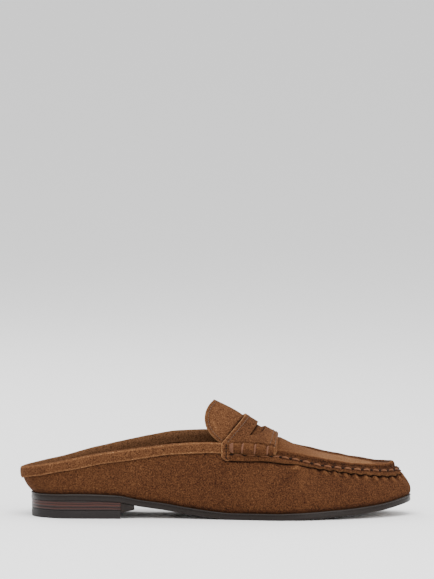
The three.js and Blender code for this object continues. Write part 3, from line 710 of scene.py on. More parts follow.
class Nodes:
    """Short calls for the nodes of a tree."""

    tree: bpy.types.NodeTree

    def node(self, kind: str, **inputs: Socket | float | Colour) -> Node:
        """New node of a kind.

        Args:
            kind: The kind.
            inputs: Sources or values of inputs, named with underscores for spaces.

        Returns:
            The node.
        """
        node = self.tree.nodes.new(kind)
        for name, value in inputs.items():
            self.feed(node.inputs[name.replace("_", " ")], value)
        return node

    def link(self, source: Socket, target: Socket) -> None:
        """Links two sockets."""
        self.tree.links.new(source, target)

    def feed(self, socket: Socket, value: Socket | float | Colour) -> None:
        """Links a socket to its source, or sets its number or colour."""
        if isinstance(value, Socket):
            self.link(value, socket)
        else:
            socket.default_value = value

    def math(self, operation: str, a: Socket | float, b: Socket | float, c: Socket | float = 0.0) -> Socket:
        """Math node with sockets or numbers."""
        node = self.node("ShaderNodeMath")
        node.operation = operation
        for socket, value in zip(node.inputs, (a, b, c)):
            self.feed(socket, value)
        return node.outputs[0]


class Shader(Nodes):
    """A material's nodes, with short calls for those that the finishes share."""

    def __init__(self, name: str) -> None:
        """Starts a material with one Principled surface."""
        self.material = bpy.data.materials.new(name)
        self.material.use_nodes = True
        self.tree = self.material.node_tree
        self.tree.nodes.clear()
        output = self.node("ShaderNodeOutputMaterial")
        self.surface = self.node("ShaderNodeBsdfPrincipled")
        self.link(self.surface.outputs[0], output.inputs[0])
        self.object_place = self.node("ShaderNodeTexCoord").outputs["Object"]

    def set(self, **values: float | Colour) -> None:
        """Sets sockets of the surface, named with underscores for spaces."""
        for name, value in values.items():
            self.surface.inputs[name.replace("_", " ")].default_value = value

    def stretched(self, scale: Place) -> Socket:
        """Object coordinates scaled on each axis."""
        return self.node("ShaderNodeMapping", Vector=self.object_place, Scale=scale).outputs[0]

    def noise(self, size: float, detail: float, roughness: float, where: Socket | None = None) -> Socket:
        """Noise with patches of a size in millimetres."""
        scale = 1 / (size * MILLIMETRE)
        spot = where or self.object_place
        kind = "ShaderNodeTexNoise"
        return self.node(kind, Vector=spot, Scale=scale, Detail=detail, Roughness=roughness).outputs[0]

    def attribute(self, name: str) -> Socket:
        """Number that the mesh carries."""
        node = self.node("ShaderNodeAttribute")
        node.attribute_name = name
        return node.outputs["Fac"]

    def weighted(self, start: float, parts: list[tuple[Socket, float]]) -> Socket:
        """Start plus each pattern, centred on zero, times its weight."""
        total: Socket | float = start - sum(weight * 0.5 for _, weight in parts)
        for socket, weight in parts:
            total = self.math("MULTIPLY_ADD", socket, weight, total)
        return total

    def ramp(self, value: Socket, stops: list[tuple[float, Colour]]) -> Socket:
        """Colour ramp through stops."""
        node = self.node("ShaderNodeValToRGB")
        elements = node.color_ramp.elements
        while len(elements) < len(stops):
            elements.new(0.5)
        for element, (position, colour) in zip(elements, stops):
            element.position = position
            element.color = colour
        self.link(value, node.inputs[0])
        return node.outputs[0]

    def blend(self, share: Socket, a: Socket | Colour, b: Socket | Colour) -> Socket:
        """Mix of two colours."""
        node = self.node("ShaderNodeMix", Factor=share)
        node.data_type = "RGBA"
        self.feed(node.inputs[6], a)
        self.feed(node.inputs[7], b)
        return node.outputs[2]

    def bump(self, height: Socket, strength: float, depth: float) -> None:
        """Bump of a depth in millimetres on the surface."""
        node = self.node("ShaderNodeBump", Strength=strength, Distance=depth * MILLIMETRE, Height=height)
        self.link(node.outputs[0], self.surface.inputs["Normal"])

    def colour(self, socket: Socket) -> None:
        """Base colour from a socket."""
        self.link(socket, self.surface.inputs["Base Color"])

    def roughness(self, socket: Socket) -> None:
        """Roughness from a socket."""
        self.link(socket, self.surface.inputs["Roughness"])


@dataclass(frozen=True)
class Suede:
    """Brushed nap: tone wanders in patches, with a fine grain of darker pores and lighter tips, plus the
    painted light and shade that the mesh carries.
    """

    name: str
    dark: str = "24130c"
    base: str = "442918"
    light: str = "5f3f27"
    cut: str = "7c5a3c"
    patches: float = 0.14
    nap: float = 0.18
    pores: float = 0.5
    fibres: float = 1.25
    depth: float = 0.35

    def make(self) -> Material:
        """Builds the material."""
        shader = Shader(self.name)
        patches = shader.noise(24, 2, 0.5)
        nap = shader.noise(3.4, 2, 0.6)
        pores = shader.noise(1.05, 1, 0.5)
        fibres = shader.noise(0.5, 1, 0.5)
        tone_value = shader.weighted(
            0.5, [(patches, self.patches), (nap, self.nap), (pores, self.pores), (fibres, self.fibres)]
        )
        # Painted light and shade from the mesh's shade attribute, added to the nap's tone
        tone_value = shader.math("ADD", tone_value, shader.attribute("shade"))
        colour = shader.ramp(
            tone_value,
            [(0.0, tone("120904")), (0.22, tone(self.dark)), (0.5, tone(self.base)),
             (0.85, tone(self.light)), (1.0, tone(self.cut))],
        )
        raw = shader.math("MULTIPLY", shader.attribute("cut"), 0.75)
        shader.colour(shader.blend(raw, colour, tone(self.cut)))
        height = shader.weighted(0.5, [(pores, 0.8), (fibres, 0.6), (nap, 0.6)])
        shader.bump(height, 0.55, self.depth)
        shader.set(Roughness=0.95, Sheen_Weight=0.07, Sheen_Roughness=0.5, Sheen_Tint=tone("c98044"),
                   Specular_IOR_Level=0.05)
        return shader.material


@dataclass(frozen=True)
class Lacquer:
    """Burnished dark edge with a soft gloss and faint upright marks of the rasp, and a painted highlight
    line where the mesh's shade asks for it.
    """

    name: str
    base: str = "15110f"
    worn: str = "2b2421"
    # Colour of the painted highlight line along the top of the edge
    line: str = "3a3431"
    roughness: float = 0.34

    def make(self) -> Material:
        """Builds the material."""
        shader = Shader(self.name)
        streaks = shader.noise(1.1, 3, 0.6, shader.stretched((1, 1, 0.12)))
        flecks = shader.noise(0.7, 3, 0.65)
        value = shader.weighted(0.35, [(streaks, 0.5), (flecks, 0.35)])
        colour = shader.ramp(value, [(0.0, tone(self.base)), (1.0, tone(self.worn))])
        # The shade attribute blends in the painted highlight colour
        shader.colour(shader.blend(shader.attribute("shade"), colour, tone(self.line)))
        shader.roughness(shader.weighted(self.roughness, [(flecks, 0.25), (streaks, 0.12)]))
        shader.bump(shader.weighted(0.5, [(streaks, 0.8), (flecks, 0.4)]), 0.3, 0.12)
        shader.set(Coat_Weight=0.02, Coat_Roughness=0.2, Specular_IOR_Level=0.14)
        return shader.material


@dataclass(frozen=True)
class StackedLeather:
    """Lifts of leather seen on edge, stained dark with redder lines between them."""

    name: str

    def make(self) -> Material:
        """Builds the material."""
        shader = Shader(self.name)
        split = shader.node("ShaderNodeSeparateXYZ")
        shader.link(shader.object_place, split.inputs[0])
        wander = shader.noise(16, 2, 0.5, shader.stretched((1, 1, 2.5)))
        height = shader.math("MULTIPLY_ADD", wander, 0.0016, split.outputs["Z"])
        low, high = 0.0064, 0.0136
        share = shader.math("MULTIPLY_ADD", height, 1 / (high - low), -low / (high - low))
        grey, red, dark = tone("2b2523"), tone("46251f"), tone("211917")
        stripes = shader.ramp(
            share,
            [(0.0, dark), (0.1, grey), (0.2, red), (0.27, dark), (0.4, tone("2f2220")),
             (0.52, tone("4e2a22")), (0.6, dark), (0.72, red), (0.8, dark), (0.9, grey),
             (1.0, tone("2f2826"))],
        )
        fibres = shader.noise(0.9, 3, 0.65, shader.stretched((0.25, 0.25, 2)))
        value = shader.weighted(0.5, [(fibres, 0.9)])
        shader.colour(shader.blend(value, stripes, shader.blend(value, dark, stripes)))
        shader.roughness(shader.weighted(0.42, [(fibres, 0.25)]))
        shader.bump(fibres, 0.3, 0.12)
        shader.set(Specular_IOR_Level=0.2)
        return shader.material


@dataclass(frozen=True)
class Rubber:
    """Fine matt rubber of the top lift."""

    name: str

    def make(self) -> Material:
        """Builds the material."""
        shader = Shader(self.name)
        fine = shader.noise(0.6, 3, 0.6)
        broad = shader.noise(9, 2, 0.5)
        value = shader.weighted(0.5, [(fine, 0.5), (broad, 0.5)])
        shader.colour(shader.ramp(value, [(0.1, tone("151212")), (0.9, tone("252120"))]))
        shader.roughness(shader.weighted(0.55, [(broad, 0.2)]))
        shader.bump(fine, 0.25, 0.1)
        shader.set(Specular_IOR_Level=0.2)
        return shader.material


@dataclass(frozen=True)
class Thread:
    """Waxed thread: mottled, with a fine bump and a small sheen."""

    name: str
    dark: str = "301b10"
    light: str = "7a5239"

    def make(self) -> Material:
        """Builds the material."""
        shader = Shader(self.name)
        fine = shader.noise(0.5, 3, 0.7)
        broad = shader.noise(5, 1, 0.5)
        value = shader.weighted(0.5, [(fine, 0.9), (broad, 0.5)])
        shader.colour(shader.ramp(value, [(0.1, tone(self.dark)), (0.9, tone(self.light))]))
        shader.bump(fine, 0.5, 0.15)
        shader.set(Roughness=0.7, Sheen_Weight=0.05, Sheen_Tint=tone("d08a58"), Specular_IOR_Level=0.08)
        return shader.material


@dataclass(frozen=True)
class SmoothLeather:
    """Vegetable tanned leather with fine grain, as on the sock and the sole's underside."""

    name: str
    dark: str = "2e1c11"
    base: str = "4c3120"
    light: str = "5f4029"
    roughness: float = 0.55

    def make(self) -> Material:
        """Builds the material."""
        shader = Shader(self.name)
        scale = 1 / (1.1 * MILLIMETRE)
        cells = shader.node("ShaderNodeTexVoronoi", Vector=shader.object_place, Scale=scale)
        patches = shader.noise(24, 3, 0.6)
        fine = shader.noise(1.2, 3, 0.6)
        value = shader.weighted(0.5, [(patches, 0.7), (fine, 0.35)])
        value = shader.math("ADD", value, shader.attribute("shade"))
        shader.colour(
            shader.ramp(value, [(0.1, tone(self.dark)), (0.5, tone(self.base)), (0.95, tone(self.light))])
        )
        shader.roughness(shader.weighted(self.roughness, [(patches, 0.2)]))
        shader.bump(shader.weighted(0.5, [(cells.outputs[0], 0.6), (fine, 0.4)]), 0.25, 0.12)
        return shader.material


class ThreadTree(Nodes):
    """Geometry Nodes tree that turns a scratch mesh into thread."""

    def __init__(self, name: str, *sizes: str) -> None:
        """Makes the tree's named inputs and its output, then lays its nodes."""
        self.tree = bpy.data.node_groups.new(name, "GeometryNodeTree")
        face = self.tree.interface
        face.new_socket("Geometry", in_out="INPUT", socket_type="NodeSocketGeometry")
        self.sizes = [
            face.new_socket(size, in_out="INPUT", socket_type="NodeSocketFloat").identifier
            for size in sizes
        ]
        self.finish = face.new_socket("Finish", in_out="INPUT", socket_type="NodeSocketMaterial").identifier
        face.new_socket("Geometry", in_out="OUTPUT", socket_type="NodeSocketGeometry")
        self.given = self.node("NodeGroupInput").outputs
        real = self.node("GeometryNodeRealizeInstances")
        self.link(self.thread(), real.inputs[0])
        finish = self.given["Finish"]
        dress = self.node("GeometryNodeSetMaterial", Geometry=real.outputs[0], Material=finish)
        self.link(dress.outputs[0], self.node("NodeGroupOutput").inputs[0])

    def thread(self) -> Socket:
        """Lays the nodes that make the thread."""
        raise NotImplementedError

    def tube(self, line: Socket, sides: int, scale: Socket | None = None) -> Socket:
        """Round section of the thread's radius along a curve, smooth and closed at its ends."""
        radius = self.given["Thickness"]
        circle = self.node("GeometryNodeCurvePrimitiveCircle", Resolution=sides, Radius=radius).outputs[0]
        tube = self.node("GeometryNodeCurveToMesh", Curve=line, Profile_Curve=circle, Fill_Caps=True)
        if scale is not None:
            self.link(scale, tube.inputs["Scale"])
        smooth = self.node("GeometryNodeSetShadeSmooth")
        self.link(tube.outputs[0], smooth.inputs[0])
        return smooth.outputs[0]

    def spin(self, name: str, mesh: bpy.types.Mesh, finish: Material, *sizes: float) -> Piece:
        """Makes the thread of a scratch mesh.

        Args:
            name: Name of the piece.
            mesh: The scratch mesh.
            finish: The thread's material.
            sizes: Millimetres for the tree's sizes, in their order.

        Returns:
            The piece as a plain mesh.
        """
        source = stand(name + "_source", mesh)
        modifier = source.modifiers.new("thread", "NODES")
        modifier.node_group = self.tree
        for identifier, value in zip(self.sizes, sizes):
            modifier[identifier] = value * MILLIMETRE
        modifier[self.finish] = finish
        return plain(source, name)


class ThreadRow(ThreadTree):
    """Lays one arched stitch at each point of a mesh."""

    def __init__(self, name: str) -> None:
        """Builds the tree with its sizes."""
        super().__init__(name, "Length", "Thickness", "Arch", "Sink")

    def thread(self) -> Socket:
        """Arc with a round section, thin at its ends, turned at each point."""
        arc = self.node("GeometryNodeCurveQuadraticBezier", Resolution=8)
        for key, share, height in (("Start", -0.5, "Sink"), ("Middle", 0.0, "Arch"), ("End", 0.5, "Sink")):
            reach = self.math("MULTIPLY", self.given["Length"], share)
            join = self.node("ShaderNodeCombineXYZ", X=reach, Z=self.given[height])
            self.link(join.outputs[0], arc.inputs[key])
        share = self.node("GeometryNodeSplineParameter").outputs["Factor"]
        bow = self.math("SUBTRACT", share, self.math("MULTIPLY", share, share))
        taper = self.math("POWER", self.math("MULTIPLY_ADD", bow, 3.4, 0.12), 0.55)
        dots = self.node("GeometryNodeMeshToPoints", Mesh=self.given["Geometry"]).outputs[0]
        out, along = self.carried("out"), self.carried("along")
        turn = self.node("FunctionNodeAxesToRotation", Primary_Axis=out, Secondary_Axis=along)
        turn.primary_axis = "Z"
        turn.secondary_axis = "X"
        tube = self.tube(arc.outputs[0], 7, taper)
        kind = "GeometryNodeInstanceOnPoints"
        return self.node(kind, Points=dots, Instance=tube, Rotation=turn.outputs[0]).outputs[0]

    def carried(self, name: str) -> Socket:
        """Direction that the mesh carries at its points."""
        read = self.node("GeometryNodeInputNamedAttribute", Name=name)
        read.data_type = "FLOAT_VECTOR"
        return read.outputs[0]

    def lay(self, name: str, points: Points, out: Points, along: Points, finish: Material,
            length: float, thickness: float, arch: float, sink: float) -> Piece:
        """Makes one piece of stitches.

        Args:
            name: Name of the piece.
            points: Middle of each stitch.
            out: Direction out of the leather there.
            along: Direction of the stitch.
            finish: The thread's material.
            length: Length of a stitch.
            thickness: Radius of the thread.
            arch: How far the middle's control point stands out.
            sink: How far its ends lie in the leather, as a negative height.

        Returns:
            The piece as a plain mesh.
        """
        mesh = bpy.data.meshes.new(name + "_points")
        mesh.from_pydata((points * MILLIMETRE).tolist(), [], [])
        for key, values in (("out", out), ("along", along)):
            layer = mesh.attributes.new(key, "FLOAT_VECTOR", "POINT")
            layer.data.foreach_set("vector", values.astype(np.float32).ravel())
        return self.spin(name, mesh, finish, length, thickness, arch, sink)


class ThreadWrap(ThreadTree):
    """Gives lines of a mesh a round section."""

    def __init__(self, name: str) -> None:
        """Builds the tree with its size."""
        super().__init__(name, "Thickness")

    def thread(self) -> Socket:
        """Curve with a round section for each line."""
        lines = self.node("GeometryNodeMeshToCurve")
        self.link(self.given["Geometry"], lines.inputs[0])
        return self.tube(lines.outputs[0], 8)

    def wrap(self, name: str, lines: list[Points], finish: Material, radius: float) -> Piece:
        """Makes one piece of thread lines.

        Args:
            name: Name of the piece.
            lines: Points of each line.
            finish: The thread's material.
            radius: Radius of the thread.

        Returns:
            The piece as a plain mesh.
        """
        points, edges = [], []
        for line in lines:
            start = len(points)
            points += (line * MILLIMETRE).tolist()
            edges += [(start + i, start + i + 1) for i in range(len(line) - 1)]
        mesh = bpy.data.meshes.new(name + "_lines")
        mesh.from_pydata(points, edges, [])
        return self.spin(name, mesh, finish, radius)


def plain(source: Piece, name: str) -> Piece:
    """Turns an object's evaluated modifiers into a plain mesh object.

    Args:
        source: The object with its modifier, which is removed.
        name: Name of the new object.

    Returns:
        The new object.
    """
    bpy.context.view_layer.update()
    graph = bpy.context.evaluated_depsgraph_get()
    mesh = bpy.data.meshes.new_from_object(source.evaluated_get(graph))
    mesh.name = name
    source.modifiers.clear()
    bpy.data.objects.remove(source)
    piece = stand(name, mesh)
    return piece


@dataclass
class Finishes:
    """Every material of the shoe, made once."""

    suede: Material
    suede_light: Material
    lining: Material
    edge: Material
    stack: Material
    rubber: Material
    seam_thread: Material
    fine_thread: Material
    tie_thread: Material
    hole: Material
    sock: Material
    bottom: Material

    @classmethod
    def make(cls) -> "Finishes":
        """Builds the materials."""
        return cls(
            suede=Suede("suede").make(),
            suede_light=Suede("suede_light", "2c190f", "523420", "6c4a30", "8f6b4a").make(),
            lining=Suede("lining", "2f1d12", "5c3f2a", "6e4d37", "6e4d37", depth=0.2).make(),
            edge=Lacquer("edge_lacquer").make(),
            stack=StackedLeather("stack_leather").make(),
            rubber=Rubber("lift_rubber").make(),
            seam_thread=Thread("seam_thread").make(),
            fine_thread=Thread("fine_thread", "3a312b", "6a5b50").make(),
            tie_thread=Thread("tie_thread", "452b1e", "785340").make(),
            # Near-black pieces that stand for the painted shade inside stitch holes
            hole=Thread("stitch_hole", "120a06", "1e120b").make(),
            sock=SmoothLeather("sock_leather").make(),
            bottom=SmoothLeather("sole_leather", "281a12", "42301f", "5a412c", roughness=0.45).make(),
        )


@dataclass
class ApronSeam:
    """Line of the hand-sewn seam: its length gives the rhythm of stitches, scallops and puckers."""

    pitch: float = 7.15
    first: float = 178.5
    stations: int = 1200
    opening: tuple[float, float] = (174.0, 200.0)
    dropping: tuple[float, float] = (176.0, 200.0)
    short_flange: tuple[float, ...] = (166.0, 178.0, 200.0, 222.0)
    roll_middle: float = 156.0
    turns: Points = field(init=False)
    lengths: Points = field(init=False)

    def __post_init__(self) -> None:
        """Measures the line from the outer roll round the toe to the inner roll."""
        rear = float(LAST.turn_along(LAST.roll_rear))
        self.turns = np.linspace(rear, FULL_TURN - rear, self.stations)
        points = LAST.beside(self.turns, LAST.seam_height(self.turns), 1.5)
        steps = np.linalg.norm(np.diff(points, axis=0), axis=1)
        self.lengths = np.concatenate([[0], np.cumsum(steps)])

    def phase(self, turn: Points) -> Points:
        """Number of stitches passed, whole in the middle of a stitch."""
        start = np.interp(LAST.turn_along(self.first, Side.OUTER), self.turns, self.lengths)
        return (np.interp(turn, self.turns, self.lengths) - start) / self.pitch

    def beat(self, turn: Points) -> Points:
        """1 in the middle of a stitch and -1 at the hole between two."""
        return np.cos(2 * math.pi * self.phase(turn))

    def vamp(self, turn: Points) -> Points:
        """0 beside the rolls, 1 along the open seam."""
        v = LAST.half_turn(turn)
        return fade(v, *(float(LAST.turn_along(along)) for along in self.opening))

    def depth(self, turn: Points) -> Points:
        """How far the flange hangs below the seam, less behind the toe and under the roll's middle."""
        v = LAST.half_turn(turn)
        marks = [float(LAST.turn_along(along)) for along in self.short_flange]
        short = 0.9 * fade(v, marks[0], marks[1]) * (1 - fade(v, marks[2], marks[3]))
        roll = float(LAST.turn_along(self.roll_middle))
        return LAST.flange_depth(turn) - short - 1.0 * np.exp(-(((v - roll) / 0.025) ** 2))

    def drop(self, turn: Points) -> Points:
        """How far the thread lies below the seam's upper line."""
        v = LAST.half_turn(turn)
        return 1.1 * fade(v, *(float(LAST.turn_along(along)) for along in self.dropping))

    def stitches(self) -> tuple[Points, Points]:
        """Turns of the stitch middles and of the holes between them."""
        phases = self.phase(self.turns)
        front = LAST.turn_along(LAST.side_front + 2)
        whole = np.arange(math.ceil(phases[0]), math.floor(phases[-1]) + 1)
        middles = np.interp(whole, phases, self.turns)
        holes = np.interp(whole + 0.5, phases, self.turns)
        keep = (middles > front) & (middles < FULL_TURN - front)
        keep_holes = (holes > front - 0.004) & (holes < FULL_TURN - front + 0.004)
        return middles[keep], holes[keep_holes]


@dataclass(frozen=True)
class Crease:
    """Soft trough or ridge in the wall. Places are distance from the sole's back and height."""

    start: tuple[float, float]
    end: tuple[float, float]
    width: float
    depth: float
    side: Side = Side.OUTER
    # Painted light per millimetre of ridge, and painted shade per millimetre of trough
    light: float = 0.06

    def relief(self, along: Points, height: Points, inner: Points) -> Points:
        """How far the crease moves the wall outwards.

        Args:
            along: Distance of each point from the sole's back.
            height: Its height.
            inner: Whether it is on the inner side.

        Returns:
            Millimetres outwards.
        """
        line = np.array(self.end) - np.array(self.start)
        x, z = along - self.start[0], height - self.start[1]
        share = np.clip((x * line[0] + z * line[1]) / (line @ line), 0, 1)
        away = np.hypot(x - share * line[0], z - share * line[1])
        ends = np.sin(math.pi * mix(0.12, 0.88, share)) ** 0.5
        here = inner if self.side is Side.INNER else ~inner
        return np.where(here, self.depth * ends * np.exp(-((away / self.width) ** 2)), 0)


@dataclass
class Upper:
    """Quarters and vamp in one piece, with its lining, and the folded binding on its edge."""

    finishes: Finishes
    seam: ApronSeam
    stations: int = 560
    levels: int = 44
    binding_width: float = 6.2
    binding_inner_width: float = 6.7
    binding_thickness: float = 0.9
    pucker: float = 1.1
    crease_depth: float = 1.6
    creases: tuple[Crease, ...] = (
        Crease((181.8, 36.2), (178.8, 35.6), 1.6, 0.95, light=0.24),
        Crease((181.0, 34.0), (171.5, 26.0), 2.4, -0.8),
        Crease((186.5, 33.5), (179.0, 20.0), 3.6, 0.5),
        Crease((196.0, 32.0), (193.0, 20.0), 3.2, -0.4),
        Crease((206.5, 31.0), (204.5, 17.0), 3.4, -0.35),
        Crease((213.5, 30.0), (214.5, 15.0), 3.4, -0.4),
        Crease((222.0, 28.5), (225.0, 15.0), 3.2, -0.35),
        Crease((231.5, 27.5), (235.5, 17.0), 3.0, -0.35),
        Crease((240.5, 27.5), (246.0, 19.0), 2.6, -0.3),
        Crease((160.0, 33.0), (150.0, 14.0), 9.0, 0.35),
        Crease((118.0, 34.0), (132.0, 22.0), 9.0, -0.3),
        Crease((178.5, 34.0), (170.0, 23.0), 3.2, -0.8, Side.INNER),
        Crease((187.0, 32.5), (181.0, 18.0), 4.2, 0.55, Side.INNER),
        Crease((198.0, 31.0), (195.0, 17.0), 3.4, -0.4, Side.INNER),
        Crease((209.0, 29.5), (209.0, 15.0), 3.6, -0.35, Side.INNER),
        Crease((221.0, 28.0), (224.0, 16.0), 3.2, -0.35, Side.INNER),
        Crease((130.0, 36.0), (140.0, 20.0), 9.0, -0.35, Side.INNER),
    )

    def folds(self, along: Points, height: Points, inner: Points) -> Points:
        """How far the creases move the wall outwards."""
        return sum(self.crease_depth * crease.relief(along, height, inner) for crease in self.creases)

    def painted_crease_light(self, along: Points, height: Points, inner: Points) -> Points:
        """Painted light on the creases' ridges and painted shade in their troughs."""
        depth = self.crease_depth
        return sum(crease.light * depth * crease.relief(along, height, inner) for crease in self.creases)

    def relief(self, turns: Points, points: Points) -> Points:
        """Creases, puckers under the seam and the unevenness of the hide.

        Args:
            turns: Turn of each point.
            points: Points of the smooth wall.

        Returns:
            Millimetres outwards.
        """
        along, height = LAST.along(points), points[..., 2]
        inner = turns > 1
        total = 0.22 * grain(points, 16, 3.1) + 0.12 * grain(points, 6, 8.4)
        total = total + self.folds(along, height, inner)
        below = LAST.seam_height(turns) - self.seam.depth(turns) - height
        open_seam = self.seam.vamp(turns)
        hump = np.exp(-(((below - 0.9) / 1.7) ** 2)) + 0.35 * np.exp(-(((below - 3.5) / 3.4) ** 2))
        uneven = 0.75 + 0.5 * grain(points, 11, 5.5)
        total = total - self.pucker * open_seam * self.seam.beat(turns) * hump * uneven
        return total * fade(height - LAST.tread(along), 0.2, 3.5)

    def build_wall(self) -> Piece:
        """Outer face, lining and edges of the wall."""
        turns = np.linspace(0, FULL_TURN, self.stations, endpoint=False)[:, None]
        levels = np.linspace(0, 1, self.levels)[None, :]
        turns, levels = np.broadcast_arrays(turns, levels)
        smooth = LAST.face(turns, levels)
        out, _ = LAST.directions(turns, levels)
        outer = smooth + out * self.relief(turns, smooth)[..., None]
        inner = LAST.off_face(turns, np.maximum(levels, 0.02), -LAST.wall)
        inner[..., 2] = smooth[..., 2]
        inner[:, 0, 2] -= LAST.clearance + 0.1
        inner[..., :2] += out[..., :2] * (0.2 * grain(inner, 14, 1.7))[..., None]
        along, height = LAST.along(smooth), smooth[..., 2]
        above_sole = height - LAST.tread(along)
        # Painted shade low on the wall, just above the sole
        low = 1 - fade(above_sole, 0.3, 4.0)
        edge = LAST.edge_height(turns) - height
        quarter = 1 - fade(LAST.half_turn(turns), *self.apron_turns())
        # Painted shadows under the binding's lower edge and under the flange's edge
        binding_shadow = quarter * np.exp(-(((edge - self.binding_width) / 0.7) ** 2))
        below_flange = LAST.seam_height(turns) - self.seam.depth(turns) - height
        flange_shadow = (1 - quarter) * np.exp(-(((below_flange - 0.05) / 0.75) ** 2))
        # Painted light on the puckers' humps between the stitches, and a little painted shade beside them
        pucker_light_and_shade = np.exp(-(((below_flange - 1.8) / 1.6) ** 2)) * self.seam.vamp(turns)
        beat = self.seam.beat(turns)
        shade = -0.22 * low - 0.18 * binding_shadow - 0.6 * flange_shadow
        shade = shade + pucker_light_and_shade * np.where(beat < 0, -0.28 * beat, -0.07 * beat)
        # Painted light and shade of the creases; the wall also darkens slightly towards the front
        shade = shade + self.painted_crease_light(along, height, turns > 1) - 0.03 * fade(along, 70, 130)
        skin = Skin.shell(outer, inner, ring=True, bulge=0.0, steps=2, shade=shade, lined=True)
        piece = skin.make("upper_suede", [self.finishes.suede, self.finishes.lining])
        return place(piece, "suede", "upper")

    def apron_turns(self) -> tuple[float, float]:
        """Turns between which the binding's shadow gives way to the flange's."""
        rear = LAST.turn_along(LAST.roll_rear - LAST.fold_width)
        return float(rear) - 0.004, float(rear) + 0.004

    def build_binding(self) -> Piece:
        """Folded band over the collar, thin at its lower edge."""
        end = float(LAST.turn_along(LAST.roll_rear - LAST.fold_width - LAST.clearance))
        turns = np.linspace(-end, end, 420)
        at = turns % FULL_TURN
        edge = LAST.edge_height(at)
        gap, thick = LAST.clearance, self.binding_thickness
        lining = -LAST.wall - gap
        fold = gap + thick * 0.7
        wave = 0.35 * np.sin(turns * 41) * np.sin(turns * 17 + 1)

        def column(down: float, out: float, up: float) -> Points:
            """One line of the band along the collar."""
            level = LAST.level_at(at, edge - down - (wave if down > 1 else 0))
            return LAST.off_face(at, level, out, up)

        # Distance below the collar's edge, then distances out and up of both faces
        lines = (
            (self.binding_width, gap + thick - 0.1, 0, gap, 0),
            (self.binding_width * 0.82, gap + thick + 0.15, 0, gap, 0),
            (self.binding_width / 2, gap + thick + 0.2, 0, gap, 0),
            (0, gap + thick, 0, gap, 0),
            (0, gap + thick / 2, fold, gap, gap),
            (0, -LAST.wall / 2, gap + thick, -LAST.wall / 2, gap),
            (0, lining - thick / 2, fold, lining, gap),
            (0, lining - thick, 0, lining, 0),
            (self.binding_inner_width, lining - thick, 0, lining, 0),
        )
        outer = np.stack([column(down, out, up) for down, out, up, _, _ in lines], 1)
        under = np.stack([column(down, out, up) for down, _, _, out, up in lines], 1)
        steps = [2, 4, 5, 2, 2, 2, 2, 6]
        outer, under = spread(outer, steps), spread(under, steps)
        outer = lumpy(outer, (0.14, 9, 2.2), (0.04, 3.5, 6.1))
        shade = np.zeros(outer.shape[:2])
        # Lighter lines at the lower edge and along the fold's top, partly the raw edge's own colour and
        # partly painted highlight; slightly darker between
        shade[:, :2] = 0.2
        shade[:, 2:4] = -0.04
        shade[:, 4:11] = -0.03
        shade[:, 11:13] = 0.2
        skin = Skin.shell(outer, under, bulge=0.2, steps=3, shade=shade)
        columns = outer.shape[1] - 1
        for face in range(len(outer) * columns - columns):
            skin.finish[face] = int(face % columns > 16)
        piece = skin.make("collar_binding_suede", [self.finishes.suede_light, self.finishes.lining])
        return place(piece, "suede_light", "collar_binding")


def pace(line: Points, out: Points, step: float) -> tuple[Points, Points, Points]:
    """Even paces along a line.

    Args:
        line: Points of the line, close together.
        out: Direction out of the leather at each point.
        step: Distance between paces.

    Returns:
        Points, outward directions, and directions along the line.
    """
    lengths = np.concatenate([[0], np.cumsum(np.linalg.norm(np.diff(line, axis=0), axis=1))])
    count = int(lengths[-1] / step)
    at = (np.arange(count) + 0.5) * lengths[-1] / count
    points, ahead, behind = (
        np.stack([np.interp(at + shift, lengths, line[:, axis]) for axis in range(3)], -1)
        for shift in (0, 0.3, -0.3)
    )
    nearest = np.round(np.interp(at, lengths, np.arange(len(line)))).astype(int)
    return points, out[nearest], unit(ahead - behind)


